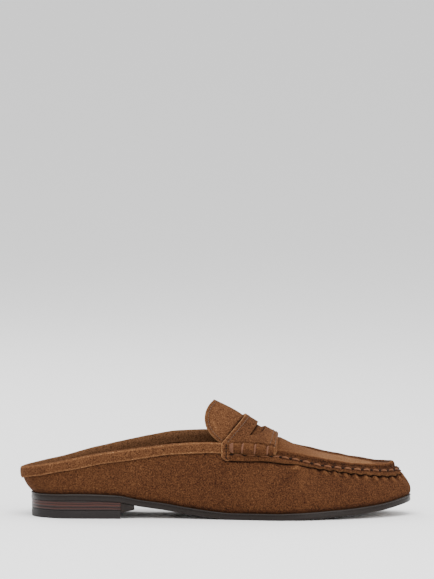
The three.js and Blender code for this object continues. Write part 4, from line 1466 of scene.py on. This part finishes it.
@dataclass
class Apron:
    """Plug of the forefoot: lapped flange, hand-sewn seam, gathered wall, raised rim and flat top."""

    finishes: Finishes
    seam: ApronSeam
    flange_thickness: float = 1.2
    rim_width: float = 1.8
    thickness: float = 1.6
    scallop: float = 0.35
    gather: float = 0.4
    thread: float = 0.7
    tuck: float = 3.0
    rawness: float = 0.3

    def flange(self, turns: Points) -> tuple[Points, Points]:
        """Columns of the flange, outer and inner."""
        seam = LAST.seam_height(turns)
        gap = LAST.clearance
        lap = gap + self.flange_thickness
        depth = self.seam.depth(turns) + self.scallop * self.seam.vamp(turns) * self.seam.beat(turns)
        lines = ((-depth, lap + 0.2), (-depth / 2, lap + 0.2), (0, lap + 0.1), (2 * gap, lap - gap))
        outer = [LAST.beside(turns, seam + up, out) for up, out in lines]
        inner = [LAST.beside(turns, seam + up, gap) for up, _ in lines]
        return np.stack(outer, 1), np.stack(inner, 1)

    def top(self, turns: Points) -> tuple[Points, Points]:
        """Columns of the wall, rim and top, outer and inner."""
        rim = LAST.rim(turns)
        spine = LAST.spine(turns)
        edge = LAST.edge_height(turns)
        seam = LAST.seam_height(turns)
        setback, width, height = LAST.rim_setback(turns), self.rim_width, LAST.rim_height
        section = [
            LAST.over_edge(turns, setback - 0.35, mix(seam, rim, 0.45)),
            LAST.over_edge(turns, setback - 0.05, rim - 0.2 * height),
            LAST.over_edge(turns, setback + 0.5 * width, rim),
            LAST.over_edge(turns, setback + 1.4 * width, rim - 0.09 * height),
            LAST.over_edge(turns, setback + 2.6 * width, rim - 0.19 * height),
        ]
        shoulder = section[-1]
        for share in (1 / 3, 2 / 3, 1.0):
            point = mix(shoulder, spine, share)
            point[:, 2] = mix(shoulder[:, 2], spine[:, 2], math.sin(math.pi * share / 2))
            section.append(point)
        down = np.array([0, 0, self.thickness])
        inner = [
            LAST.over_edge(turns, 0.1, edge + LAST.clearance),
            LAST.over_edge(turns, LAST.wall, edge + 1.5 * LAST.clearance),
        ] + [point - down for point in section[2:]]
        return np.stack(section, 1), np.stack(inner, 1)

    def build_top(self) -> Piece:
        """Flange, wall, rim and top in front of the strap."""
        front = float(LAST.turn_along(LAST.side_front + 3 * LAST.clearance))
        turns = np.linspace(front, FULL_TURN - front, 330)
        flange_outer, flange_inner = self.flange(turns)
        top_outer, top_inner = self.top(turns)
        steps = [3, 3, 2, 3, 3, 3, 3, 3, 4, 4, 4]
        outer = spread(np.concatenate([flange_outer, top_outer], 1), steps, (3,))
        inner = spread(np.concatenate([flange_inner, top_inner], 1), steps, (3,))
        out = normals(outer)
        height = outer[..., 2]
        seam = LAST.seam_height(turns)[:, None]
        rise = (height - seam) / (LAST.rim(turns)[:, None] - seam)
        columns = np.arange(outer.shape[1])[None, :]
        # Columns of the rim's crest and of the dip behind it
        crest, dip = 17, 20.5
        on_wall = fade(rise, -0.1, 0.05) * (1 - fade(rise, 0.5, 0.95)) * (columns <= crest)
        beat = self.seam.beat(turns)[:, None]
        relief = self.gather * on_wall * beat
        on_top = fade(columns, crest, 22)
        relief = relief + on_top * 0.45 * grain(outer, 15, 4.4) + 0.12 * grain(outer, 5, 7.7)
        relief = relief + 0.3 * np.exp(-(((columns - crest) / 2.5) ** 2)) * grain(outer, 8, 9.2)
        out = unit(mix(out, np.array([0, 0, 1.0]), fade(columns, 20, 28)[..., None]))
        outer = outer + out * relief[..., None]
        drop = self.seam.drop(turns)[:, None]
        # Painted shade in the groove just above the thread
        groove_shadow = np.exp(-(((height - seam + drop - 0.9) / 0.7) ** 2)) * (columns < 14)
        ahead = fade(LAST.along(outer), 172, 205)
        # Painted light and shade: a darker wall, darker and lighter with the gathers, a painted highlight on
        # the rim's crest, a lighter top, and painted shade in the dip behind the rim and in the recess at
        # the toe
        shade = -0.3 * groove_shadow - mix(0.08, 0.2, ahead) * on_wall - 0.08 * on_wall * beat
        shade = shade + 0.2 * np.exp(-(((columns - crest) / 1.6) ** 2))
        shade = shade + mix(0.12, 0.33, ahead) * fade(columns, 21, 26)
        shade = shade - 0.2 * np.exp(-(((columns - dip) / 1.6) ** 2))
        toe = fade(LAST.half_turn(turns), 0.84, 0.93)[:, None]
        shade = shade - 0.3 * toe * fade(columns, 18, 22)
        rows = np.arange(len(turns))[:, None]
        tuck = fade(rows, 1, 0) + fade(rows, len(turns) - 2, len(turns) - 1)
        back = self.tuck * tuck * fade(columns, 24, 31)
        outer[..., 0] -= back
        inner[..., 0] -= back
        skin = Skin.shell(outer, inner, bulge=0.15, steps=3, shade=shade, welded=True)
        skin.cut *= self.rawness
        return place(skin.make("apron_suede", [self.finishes.suede]), "suede", "apron")

    def build_laps(self) -> list[Piece]:
        """Flange beside each roll, behind the apron's top."""
        made = []
        for side, name in ((Side.OUTER, "flange_lateral"), (Side.INNER, "flange_medial")):
            ends = [
                float(LAST.turn_along(LAST.roll_rear - 2.6, side)),
                float(LAST.turn_along(LAST.side_front + 3 * LAST.clearance, side)),
            ]
            turns = np.linspace(min(ends), max(ends), 44)
            outer, inner = self.flange(turns)
            outer, inner = spread(outer, [4, 4, 2]), spread(inner, [4, 4, 2])
            outer = lumpy(outer, (0.14, 5, 3.9))
            skin = Skin.shell(outer, inner, bulge=0.15, steps=3)
            skin.cut *= self.rawness
            made.append(place(skin.make(name, [self.finishes.suede]), "suede", "apron"))
        return made

    def sew(self, row: ThreadRow) -> list[Piece]:
        """Thick stitches of the apron seam, and near-black pieces between them for the painted shade in the
        stitch holes.
        """
        middles, holes = self.seam.stitches()
        lap = LAST.clearance + self.flange_thickness
        made = []
        near = 0.004
        for turns, name, finish, slant, sizes in (
            (middles, "apron_stitches", self.finishes.seam_thread, 0.13, (5.8, self.thread, 1.5, -0.75)),
            # Near-black pieces: painted shade in the stitch holes
            (holes, "apron_stitch_holes", self.finishes.hole, 0.0, (2.3, 0.75, 0.2, -0.3)),
        ):
            height = LAST.seam_height(turns) + 0.15 - self.seam.drop(turns)
            points = LAST.beside(turns, height, lap + 0.12)
            ahead = LAST.beside(turns + near, LAST.seam_height(turns + near), lap)
            behind = LAST.beside(turns - near, LAST.seam_height(turns - near), lap)
            out, up = LAST.directions(turns, LAST.level_at(turns, height - 1))
            out = unit(out + 0.35 * np.array([0, 0, 1.0]))
            along = unit(unit(ahead - behind) + slant * up * LAST.side(turns)[:, None])
            made.append(row.lay(name, points + out * 0.1, out, along, finish, *sizes))
        return [place(piece, "suede") for piece in made]


@dataclass
class Saddle:
    """Strap over the instep with its half-moon slot, the tongue under it, and both rolls."""

    finishes: Finishes
    thickness: float = 1.7
    slot_width: float = 5.2
    slot_rear: float = 153.4
    slot_half_length: float = 22.5
    roll_length: float = 30.5
    roll_height: float = 7.7
    roll_taper: float = 0.87
    roll_depth: float = 3.4
    tie_spacing: float = 8.5
    tie_pinch: float = 0.26
    tongue_tip: float = 124.3
    tongue_thickness: float = 1.6
    tongue_tuck: float = 6

    def strap_face(self, back: Points, across: Points) -> Points:
        """Inner face of the strap: back 0 at its rear edge, 1 at its front edge."""
        along = mix(LAST.strap_rear, LAST.strap_front, np.asarray(back, float))
        return LAST.instep(along, across, LAST.clearance, LAST.clearance)

    def skirt(self, backs: Points, side: Side, out: float, steps: int) -> Points:
        """Grid of the strap's end outside the wall, from its low edge up."""
        along = mix(LAST.roll_rear - LAST.fold_width, LAST.side_front, backs)
        turn = LAST.turn_along(along, side)
        seam = LAST.seam_height(turn)
        fold = LAST.fold_width / (LAST.side_front - LAST.roll_rear + LAST.fold_width)
        corner = 2.4 * np.clip(1 - 1.6 * backs / fold, 0, 1) ** 2
        low = np.where(backs < fold - 0.008, seam - LAST.flange_depth(turn) + corner, seam + 1.5)
        share = np.linspace(0, 1, steps, endpoint=False)[None, :]
        height = mix(low[:, None], LAST.edge_height(turn)[:, None], share)
        return LAST.upright(along[:, None] + 0 * height, side, height, out)

    def strap_grid(self, backs: Points, lift: float) -> Points:
        """Grid of one face of the strap, from the outer end over the instep to the inner end."""
        across = np.linspace(-1, 1, 81)
        arch = self.strap_face(backs[:, None], across[None, :])
        within, inside = np.clip(backs, 0.02, 0.98)[:, None], np.clip(across, -0.97, 0.97)[None, :]
        arch = arch + out_of(self.strap_face, within, inside) * lift
        outer = self.skirt(backs, Side.OUTER, LAST.clearance + lift, 9)
        inner = self.skirt(backs, Side.INNER, LAST.clearance + lift, 9)[:, ::-1]
        return np.concatenate([outer, arch, inner], 1)

    def build_strap(self) -> Piece:
        """Strap with its slot cut through and its rear ends folded down."""
        length = LAST.side_front - LAST.roll_rear + LAST.fold_width
        fold, gap = LAST.fold_width / length, LAST.clearance / length
        backs = np.concatenate([np.linspace(0, fold - 2 * gap, 6), np.linspace(fold, 1, 22)])
        under, outer = self.strap_grid(backs, 0), self.strap_grid(backs, self.thickness)
        outer = lumpy(outer, (0.2, 13, 2.9), (0.1, 5, 5.3))
        rows = np.arange(len(backs))[:, None] + 0 * outer[..., 0]
        middle = fade(rows, 0.5, 1.5) * (1 - fade(rows, 16, 26))
        shade = 0.42 * (rows < 1) - 0.11 * middle + 0.1 * (rows > 26)
        skin = Skin.shell(outer, under, bulge=0.25, steps=4, shade=shade)
        piece = skin.make("saddle_strap_suede", [self.finishes.suede_light])
        self.cut_slot(piece)
        return place(piece, "suede_light", "saddle_strap")

    def half_width(self) -> float:
        """Distance from the ridge to the top edge at the slot."""
        turn = LAST.turn_along(self.slot_rear)
        return abs(float(LAST.top_plan(turn)[1]) - float(LAST.middle(self.slot_rear)))

    @staticmethod
    def scuff(points: Points) -> Points:
        """Lighter streak where the tongue's nap is rubbed, low on its outer side."""
        start, end = np.array([92.7, 66.0]), np.array([95.5, 60.7])
        line = end - start
        flat = points[..., [0, 2]] - start
        share = np.clip((flat @ line) / (line @ line), 0, 1)
        away = np.linalg.norm(flat - share[..., None] * line, axis=-1)
        return 0.16 * np.exp(-((away / 0.8) ** 2)) * (points[..., 1] < -5)

    def cut_slot(self, piece: Piece) -> None:
        """Cuts the half-moon: straight at the rear, round at the front."""
        length = LAST.strap_front - LAST.strap_rear
        rear = (self.slot_rear - LAST.strap_rear) / length
        half = self.half_width()
        over = np.linspace(-1, 1, 41)[None, :]
        along = np.linspace(0, 1, 5)[:, None]
        back = rear + along * np.maximum(1 - np.abs(over) ** 5, 0) ** 0.5 * self.slot_width / length
        across = over * self.slot_half_length / half + 0 * back
        face = self.strap_face(back, across)
        out = out_of(self.strap_face, back, across)
        cutter = Skin.shell(face + out * 4, face - out * 0.2, bulge=0, steps=2)
        cutter.cut[:] = 1
        tool = cutter.make("slot_tool", [self.finishes.suede_light])
        modifier = piece.modifiers.new("slot", "BOOLEAN")
        modifier.object = tool
        modifier.operation = "DIFFERENCE"
        modifier.solver = "EXACT"
        graph = bpy.context.evaluated_depsgraph_get()
        mesh = bpy.data.meshes.new_from_object(piece.evaluated_get(graph))
        piece.modifiers.clear()
        piece.data = mesh
        bpy.data.objects.remove(tool)

    def strap_line(self, back: float, start: float, end: float) -> tuple[Points, Points]:
        """Line on the strap's outer face and the directions out of it."""
        across = np.linspace(start, end, 400)
        here = np.full_like(across, back)
        out = out_of(self.strap_face, here, across)
        return self.strap_face(here, across) + out * (self.thickness + 0.12), out

    def sew_strap(self, row: ThreadRow) -> Piece:
        """Fine stitches inside the strap's rear and front edges."""
        groups = []
        for back in (0.095, 0.86, 0.95):
            line, out = self.strap_line(back, -0.985, 0.985)
            groups.append(pace(line, out, 2.2))
        points, outs, alongs = (np.concatenate(part) for part in zip(*groups))
        finish = self.finishes.fine_thread
        piece = row.lay("strap_stitches", points, outs, alongs, finish, 1.5, 0.2, 0.28, -0.12)
        return place(piece, "suede_light")

    def tongue_rear(self, across: Points) -> Points:
        """Place on the ridge of the tongue's rounded rear edge."""
        return mix(self.tongue_tip, LAST.strap_rear + 1, np.minimum(np.abs(across), 1) ** 3)

    def tongue_face(self, back: Points, across: Points) -> Points:
        """Outer face of the tongue: back 0 at its rounded rear edge, 1 at its front end."""
        back, across = np.broadcast_arrays(np.asarray(back, float), np.asarray(across, float))
        rear = self.tongue_rear(across) + 2.2 * np.clip(across, 0, 1) * (1 - np.clip(across, 0, 1))
        rear = rear - 1.3 * np.sin(math.pi * np.clip(-across, 0, 1)) ** 2
        along = mix(rear, LAST.strap_front - 2 * LAST.clearance, back)
        return LAST.instep(along, across, -LAST.wall - LAST.clearance, 0)

    def ridge_place(self, points: Points, backs: Points, across: Points) -> Points:
        """Place on the ridge of each point of the tongue's grid, with its tucked ends."""
        along = mix(self.tongue_rear(across), LAST.strap_front - 2 * LAST.clearance, backs)
        extra = (points.shape[1] - along.shape[1]) // 2
        return np.pad(along, ((0, 0), (extra, extra)), mode="edge")

    def tongue_out(self, back: Points, across: Points) -> Points:
        """Direction out of the tongue's face."""
        return out_of(self.tongue_face, np.clip(back, 0.02, 0.98), np.clip(across, -0.97, 0.97))

    def build_tongue(self) -> Piece:
        """Rounded tongue, tucked down inside the wall."""
        backs = np.linspace(0, 1, 88)[:, None]
        across = np.linspace(-1, 1, 71)[None, :]
        face = self.tongue_face(backs, across)
        out = self.tongue_out(backs, across)
        along = mix(LAST.strap_rear + 1, LAST.strap_front - 2 * LAST.clearance, backs[:, 0])

        def tuck(side: Side, depth: float) -> Points:
            """Grid of the tongue's end inside the wall."""
            turn = LAST.turn_along(LAST.side_below(along), side)
            edge = LAST.edge_height(turn)
            height = edge[:, None] - np.linspace(1, 0, 6, endpoint=False)[None, :] * self.tongue_tuck
            return LAST.beside(turn[:, None] + 0 * height, height, -LAST.wall - LAST.clearance - depth)

        def grid(depth: float) -> Points:
            """Whole face at a depth."""
            return np.concatenate(
                [tuck(Side.OUTER, depth), face - out * depth, tuck(Side.INNER, depth)[:, ::-1]], 1
            )

        outer = lumpy(grid(0), (0.25, 17, 6.6), (0.08, 6, 1.2))
        rows = np.arange(len(backs))[:, None] + 0 * outer[..., 0]
        behind = LAST.strap_rear - self.ridge_place(outer, backs, across)
        under_slot = -behind - (self.slot_rear - LAST.strap_rear)
        over = np.pad(np.abs(across[0]) * self.half_width() / self.slot_half_length, 6, constant_values=9)
        front = self.slot_width * np.maximum(1 - over**5, 0) ** 0.5
        shade = 0.1 * (rows < 1) - 0.04 * ((rows > 2) & (rows < 7))
        # Painted shade on the tongue inside the slot and along the slot's front edge; the scuff is rubbed
        # nap
        shade = shade - 0.3 * fade(under_slot - front, -1.4, -0.3) - 0.06 * (under_slot > 0)
        shade = shade + self.scuff(outer)
        # Painted shadows of the strap: behind its rear edge and along the slot's rear edge
        shade = shade - 0.42 * np.exp(-((np.maximum(behind, 0) / 0.7) ** 2)) * (behind > -6)
        shade = shade - 0.5 * np.exp(-((under_slot / 0.8) ** 2))
        skin = Skin.shell(outer, grid(self.tongue_thickness), bulge=0.3, steps=4, shade=shade)
        piece = skin.make("tongue_suede", [self.finishes.suede_light])
        return place(piece, "suede_light", "tongue")

    def sew_tongue(self, row: ThreadRow) -> Piece:
        """Fine stitches inside the tongue's rounded edge."""
        across = np.linspace(-0.97, 0.97, 600)
        edge = self.tongue_face(np.zeros_like(across), across)
        out = self.tongue_out(np.zeros_like(across), across)
        inwards = unit(np.cross(unit(np.gradient(edge, axis=0)), out))
        line = edge + inwards * 2.1 + out * 0.1
        points, outs, alongs = pace(line, out, 2.1)
        finish = self.finishes.fine_thread
        piece = row.lay("tongue_stitches", points, outs, alongs, finish, 1.4, 0.17, 0.22, -0.12)
        return place(piece, "suede_light")

    def roll_point(self, share: Points, angle: Points, side: Side, extra: float = 0.0) -> Points:
        """Point of a roll's face.

        Args:
            share: Place along the roll, 0 at its rear.
            angle: 0 at its low edge, pi at its top edge.
            side: Which roll.
            extra: Distance above the face.

        Returns:
            Points in the shoe's frame.
        """
        along = LAST.roll_rear + share * self.roll_length
        turn = LAST.turn_along(along, side)
        tie = share * self.roll_length / self.tie_spacing
        pinch = 1 - self.tie_pinch * np.maximum(np.cos(2 * math.pi * tie), 0) ** 6
        rounded = np.sin(math.pi * mix(0.05, 0.95, share)) ** 0.2
        size = pinch * rounded
        radius = self.roll_height / 2 * mix(1, self.roll_taper, share)
        low = LAST.seam_height(turn) + 3 * LAST.clearance * (1 - share)
        height = low + radius * (1 - size * np.cos(angle))
        back = 2 * LAST.clearance + self.thickness
        depth = back + self.roll_depth * size * np.sin(angle) ** 0.8 + extra
        return LAST.upright(along, side, height, depth)

    def build_roll(self, side: Side) -> Piece:
        """Rolled end of the strap, puffed between its ties."""
        share = np.linspace(0, 1, 140)[:, None]
        angle = np.linspace(0, math.pi, 25)[None, :]
        share, angle = np.broadcast_arrays(share, angle)
        outer = self.roll_point(share, angle, side)
        along = LAST.roll_rear + share * self.roll_length
        inner = LAST.upright(along, side, outer[..., 2], 2 * LAST.clearance + self.thickness)
        if side is Side.INNER:
            outer, inner = outer[::-1], inner[::-1]
        outer = lumpy(outer, (0.3, 4.2, 4.8), (0.12, 1.8, 2.6))
        tie = share * self.roll_length / self.tie_spacing
        # Painted light towards the roll's top and painted shade towards its low edge, a lighter raw edge at
        # its front end, and painted shade where the ties pinch it
        shade = 0.2 * np.sin(angle / 2) ** 2 - 0.08 + 0.3 * (share > 0.985)
        shade = shade - 0.3 * np.maximum(np.cos(2 * math.pi * tie), 0) ** 10
        if side is Side.INNER:
            shade = shade[::-1]
        skin = Skin.shell(outer, inner, bulge=0.1, steps=2, shade=shade)
        name = "beef_roll_lateral" if side is Side.OUTER else "beef_roll_medial"
        return place(skin.make(name + "_suede", [self.finishes.suede]), "suede", name)

    def tie_rolls(self, wrap: ThreadWrap) -> Piece:
        """Thread wraps round both rolls."""
        lines = []
        for side in Side:
            for number, strands in ((0, 4), (1, 2), (2, 2), (3, 2)):
                for strand in range(strands):
                    middle = number * self.tie_spacing / self.roll_length + 0.006
                    shift = (strand - (strands - 1) / 2) * 0.02 + (0.034 if number == 0 else 0)
                    angle = np.linspace(0.02, math.pi - 0.02, 22)
                    lean = -0.01 * np.cos(angle) * (number > 0)
                    share = np.clip(middle + shift + lean, 0.0, 1.0)
                    lines.append(self.roll_point(share, angle, side, 0.2))
        piece = wrap.wrap("roll_ties", lines, self.finishes.tie_thread, 0.33)
        return place(piece, "suede")

    def sew_rolls(self, row: ThreadRow) -> list[Piece]:
        """Seam stitches under the rolls with near-black pieces for the painted shade in their holes, and the
        dark stitches on the folds.
        """
        made = []
        for name, shift, finish, sizes in (
            ("roll_seam_stitches", 0.5, self.finishes.seam_thread, (6.4, 0.5, 0.8, -0.6)),
            # Near-black pieces: painted shade in the stitch holes
            ("roll_seam_holes", 0.0, self.finishes.hole, (2.2, 0.75, 0.1, -0.3)),
        ):
            places = LAST.roll_rear + (np.arange(4) + shift) * self.tie_spacing
            points, outs, alongs = [], [], []
            for side in Side:
                turn, ahead = LAST.turn_along(places, side), LAST.turn_along(places + 0.5, side)
                here = LAST.beside(turn, LAST.seam_height(turn) + 0.35, 1.75)
                there = LAST.beside(ahead, LAST.seam_height(ahead) + 0.35, 1.75)
                out, _ = LAST.directions(turn, 0.8)
                points.append(here)
                outs.append(unit(out + np.array([0, 0, 0.3])))
                alongs.append(unit(there - here))
            parts = (np.concatenate(part) for part in (points, outs, alongs))
            made.append(row.lay(name, *parts, finish, *sizes))
        made.append(self.sew_folds(row))
        return [place(piece, "suede") for piece in made]

    def sew_folds(self, row: ThreadRow) -> Piece:
        """Dark upright stitches on the strap's folded rear ends."""
        points, outs, alongs = [], [], []
        for side in Side:
            at = LAST.roll_rear - 0.42 * LAST.fold_width
            turn = LAST.turn_along(at, side)
            heights = np.linspace(LAST.seam_height(turn) - 2.0, LAST.edge_height(turn) - 0.6, 5)
            line = LAST.upright(at, side, heights, LAST.clearance + self.thickness + 0.1)
            out, _ = LAST.directions(turn + 0 * heights, np.full_like(heights, 0.9))
            points.append(line)
            outs.append(out)
            alongs.append(unit(np.gradient(line, axis=0)))
        parts = (np.concatenate(part) for part in (points, outs, alongs))
        return row.lay("fold_stitches", *parts, self.finishes.hole, 1.7, 0.42, 0.3, -0.15)


@dataclass
class Bottom:
    """Outsole, insole, stacked heel, top lift and breast."""

    finishes: Finishes
    edge_bevel: float = 0.7
    edge_waist: float = 0.35
    insole_thickness: float = 1.6
    top_lift_height: float = 5.6
    heel_inset: float = 0.6
    heel_hollow: float = 1.3
    lifts: int = 3
    breast_length: float = 9
    breast_nose: float = 2.7
    breast_drop: float = 0.72
    breast_bow: float = 0.85

    def slab(self, name: str, levels: list[Place], finishes: list[Material]) -> Piece:
        """Flat piece of the sole.

        Args:
            name: Name of the piece.
            levels: Inset from the outsole's edge, height above its underside, and strength of the painted
                highlight on the edge.
            finishes: Materials of the edge, the underside and the top.

        Returns:
            The object, faces of the edge, underside and top in their materials.
        """
        turns = np.linspace(0, FULL_TURN, 480, endpoint=False)
        rings = []
        for inset, height, _ in levels:
            flat = LAST.sole_outline(turns, inset)
            rings.append(LAST.point(flat[:, 0], flat[:, 1], LAST.shank(flat[:, 0]) + height))
        side = np.stack(rings, 1)
        index = np.arange(side.shape[0] * side.shape[1]).reshape(side.shape[:2])
        along = LAST.along(side)
        # Strength of the painted highlight along the sole: faint at the waist, stronger at the forefoot and
        # at the heel
        gleam = 0.2 + 0.5 * fade(along, 150, 200) + 0.6 * (1 - fade(along, 50, 66))
        shade = np.array([level[2] for level in levels]) * gleam
        faces = Skin.quads(index, True)
        skin = Skin(side.reshape(-1, 3), faces, np.zeros(index.size), shade.reshape(-1), [0] * len(faces))
        for (inset, height, _), flip in ((levels[0], True), (levels[-1], False)):
            x, y, across = self.plan(np.linspace(0, 1, 241), inset, 17)
            grid = LAST.point(x, y, LAST.shank(x) + height)
            numbers = np.arange(grid.shape[0] * grid.shape[1]).reshape(grid.shape[:2])
            faces = Skin.quads(numbers, False)
            faces = [face[::-1] for face in faces] if flip else faces
            rim = np.minimum(across, 1 - across) + 0 * x
            dark = -0.12 * (1 - fade(rim, 0, 0.12)) if flip else 0 * rim
            finish = [1 if flip else 2] * len(faces)
            cap = Skin(grid.reshape(-1, 3), faces, np.zeros(numbers.size), dark.reshape(-1), finish)
            skin = skin.joined(cap)
        return skin.make(name, finishes)

    def build_outsole(self) -> Piece:
        """Leather outsole with a waxed edge and a painted highlight line along its top."""
        thick, bevel, waist = LAST.outsole_thickness, self.edge_bevel, self.edge_waist
        levels = [
            (bevel, 0.0, 0.0),
            (bevel * 0.4, bevel * 0.3, 0.0),
            (waist / 3, bevel, 0.0),
            (waist, thick - 2.0 * bevel, 0.0),
            (waist + 0.12, thick - 1.45 * bevel, 0.0),
            (0.05, thick - 1.25 * bevel, 0.55),
            (0.0, thick - 0.75 * bevel, 0.8),
            (0.1, thick - 0.35 * bevel, 0.6),
            (bevel / 2, thick, 0.1),
        ]
        edge, bottom = self.finishes.edge, self.finishes.bottom
        piece = self.slab("outsole_leather", levels, [edge, bottom, edge])
        return place(piece, "edge_lacquer", "outsole")

    def build_insole(self) -> Piece:
        """Sock inside the shoe, slightly domed at its edge."""
        inset = LAST.edge_margin + LAST.wall + 2 * LAST.clearance
        base = LAST.outsole_thickness + LAST.clearance
        levels = [
            (inset + 0.3, base, 0.0),
            (inset, base + self.insole_thickness / 2, 0.0),
            (inset + 0.2, base + self.insole_thickness * 0.85, 0.0),
            (inset + 0.6, base + self.insole_thickness, 0.0),
        ]
        piece = self.slab("insole_sock", levels, [self.finishes.sock] * 3)
        return place(piece, "suede_lining", "insole")

    @staticmethod
    def plan(turns: Points, inset: Number, columns: int) -> tuple[Points, Points, Points]:
        """Plan grid of the sole, from its outer edge to its inner edge.

        Args:
            turns: Stations on the outer edge.
            inset: Distance inside the outsole's edge.
            columns: Points across.

        Returns:
            Distances from the sole's back, distances to the inner side, and shares across.
        """
        across = np.linspace(0, 1, columns)[None, :, None]
        outer = LAST.sole_outline(turns, inset)[:, None]
        inner = LAST.sole_outline((FULL_TURN - turns) % FULL_TURN, inset)[:, None]
        flat = mix(outer, inner, across)
        return flat[..., 0], flat[..., 1], across[..., 0]

    @staticmethod
    def block(name: str, plan: tuple[Points, Points], low: Number, high: Number, bulge: float,
              finish: Material) -> Piece:
        """Solid piece between two heights over a plan grid."""
        x, y = plan
        skin = Skin.shell(LAST.point(x, y, low), LAST.point(x, y, high), bulge=bulge, steps=5)
        skin.cut[:] = 0
        return skin.make(name, [finish])

    def build_heel(self) -> list[Piece]:
        """Top lift and the leather lifts, with a hollow front face."""
        last = float(LAST.edge_turn(LAST.heel_length))
        turns = np.linspace(0, last, 70)
        x, y, across = self.plan(turns, self.heel_inset, 17)
        x = x - np.sin(math.pi * across) * self.heel_hollow * (turns[:, None] / last) ** 4
        joint, seat = self.top_lift_height + LAST.clearance, LAST.shank(x)
        height = self.top_lift_height
        lift = self.block("heel_top_lift_rubber", (x, y), 0.0, height, 0.12, self.finishes.rubber)
        made = [place(lift, "lift_rubber", "heel_top_lift")]
        for number in range(self.lifts):
            name = f"heel_lift_{number + 1}"
            low, high = (mix(joint, seat, (number + step) / self.lifts) for step in (0, 1))
            piece = self.block(name + "_leather", (x, y), low, high - 0.12, 0.12, self.finishes.stack)
            made.append(place(piece, "stack_leather", name))
        return made

    def build_breast(self) -> Piece:
        """Wedge in front of the stack with a rounded nose."""
        back = LAST.heel_length + LAST.clearance
        nose = back + self.breast_length
        nose_low = float(LAST.shank(np.array(nose))) - LAST.clearance - self.breast_nose
        share = np.linspace(0, 1, 30)
        turns = LAST.edge_turn(mix(back, nose, share))
        x, y, across = self.plan(turns, self.heel_inset + share**4, 25)
        x = x - np.sin(math.pi * across) * self.heel_hollow
        back_low = self.top_lift_height * self.breast_drop
        low = mix(back_low, nose_low, share[:, None] ** self.breast_bow)
        high = LAST.shank(x) - LAST.clearance
        piece = self.block("heel_breast_leather", (x, y), low, high, 0.3, self.finishes.edge)
        return place(piece, "edge_lacquer", "heel_breast")


@dataclass
class Studio:
    """Pale floor, soft light and the photograph's point of view."""

    elevation: float = 5.0
    distance: float = 12.0
    view_height: float = 0.393
    aim: Place = (0.0958, 0.0, 0.1536)
    sensor: float = 36.0
    lit: Place = (0.1, 0.0, 0.03)
    daylight: float = 1.15
    reach: float = 60.0

    def floor(self) -> None:
        """Wide pale floor."""
        mesh = bpy.data.meshes.new("floor")
        corners = [(x * self.reach, y * self.reach, 0) for x, y in ((-1, -1), (1, -1), (1, 1), (-1, 1))]
        mesh.from_pydata(corners, [], [(0, 1, 2, 3)])
        shader = Shader("floor_paper")
        fine = shader.noise(40, 2, 0.5)
        value = shader.weighted(0.5, [(fine, 0.05)])
        shader.colour(shader.ramp(value, [(0.0, tone("fbfbfb")), (1.0, tone("ffffff"))]))
        shader.set(Roughness=0.9, Specular_IOR_Level=0.1)
        mesh.materials.append(shader.material)
        stand("floor", mesh)

    def area(self, name: str, where: Place, size: float, power: float) -> None:
        """Square soft light that faces the shoe."""
        data = bpy.data.lights.new(name, "AREA")
        data.size = size
        data.energy = power
        lamp = stand(name, data)
        lamp.location = where
        lamp.rotation_euler = (Vector(self.lit) - Vector(where)).to_track_quat("-Z", "Y").to_euler()

    def lights(self) -> None:
        """Soft light from above and in front, and an even world."""
        self.area("key", (0.0, -0.7, 1.5), 1.3, 32)
        self.area("fill", (0.9, -1.3, 0.6), 1.2, 9)
        self.area("toe", (1.3, 0.15, 0.55), 0.9, 5)
        self.area("back", (-0.5, 0.9, 0.9), 0.9, 9)
        world = bpy.data.worlds.new("studio")
        world.use_nodes = True
        background = world.node_tree.nodes["Background"]
        background.inputs["Color"].default_value = (1, 1, 1, 1)
        background.inputs["Strength"].default_value = self.daylight
        bpy.context.scene.world = world

    def camera(self) -> None:
        """Long lens at the photograph's angle."""
        data = bpy.data.cameras.new("camera")
        data.sensor_width = self.sensor
        data.lens = self.sensor / 2 / (self.view_height / 2 / self.distance)
        data.clip_start, data.clip_end = 0.1, 200
        camera = stand("camera", data)
        angle = math.radians(self.elevation)
        back = Vector((0, -math.cos(angle), math.sin(angle)))
        camera.location = Vector(self.aim) + back * self.distance
        camera.rotation_mode = "QUATERNION"
        camera.rotation_quaternion = (-back).to_track_quat("-Z", "Y")
        bpy.context.scene.camera = camera


def main() -> None:
    """Builds the shoe piece by piece, then the studio."""
    logging.basicConfig(level=logging.INFO, format="%(name)s %(message)s")
    studio = Studio()
    studio.camera()
    studio.lights()
    studio.floor()
    finishes = Finishes.make()
    seam = ApronSeam()
    row, wrap = ThreadRow("stitch_row"), ThreadWrap("thread_wrap")
    upper = Upper(finishes, seam)
    upper.build_wall()
    upper.build_binding()
    apron = Apron(finishes, seam)
    apron.build_top()
    apron.build_laps()
    apron.sew(row)
    saddle = Saddle(finishes)
    saddle.build_tongue()
    saddle.sew_tongue(row)
    saddle.build_strap()
    saddle.sew_strap(row)
    for side in Side:
        saddle.build_roll(side)
    saddle.tie_rolls(wrap)
    saddle.sew_rolls(row)
    bottom = Bottom(finishes)
    bottom.build_outsole()
    bottom.build_insole()
    bottom.build_heel()
    bottom.build_breast()


if __name__ == "__main__":
    main()
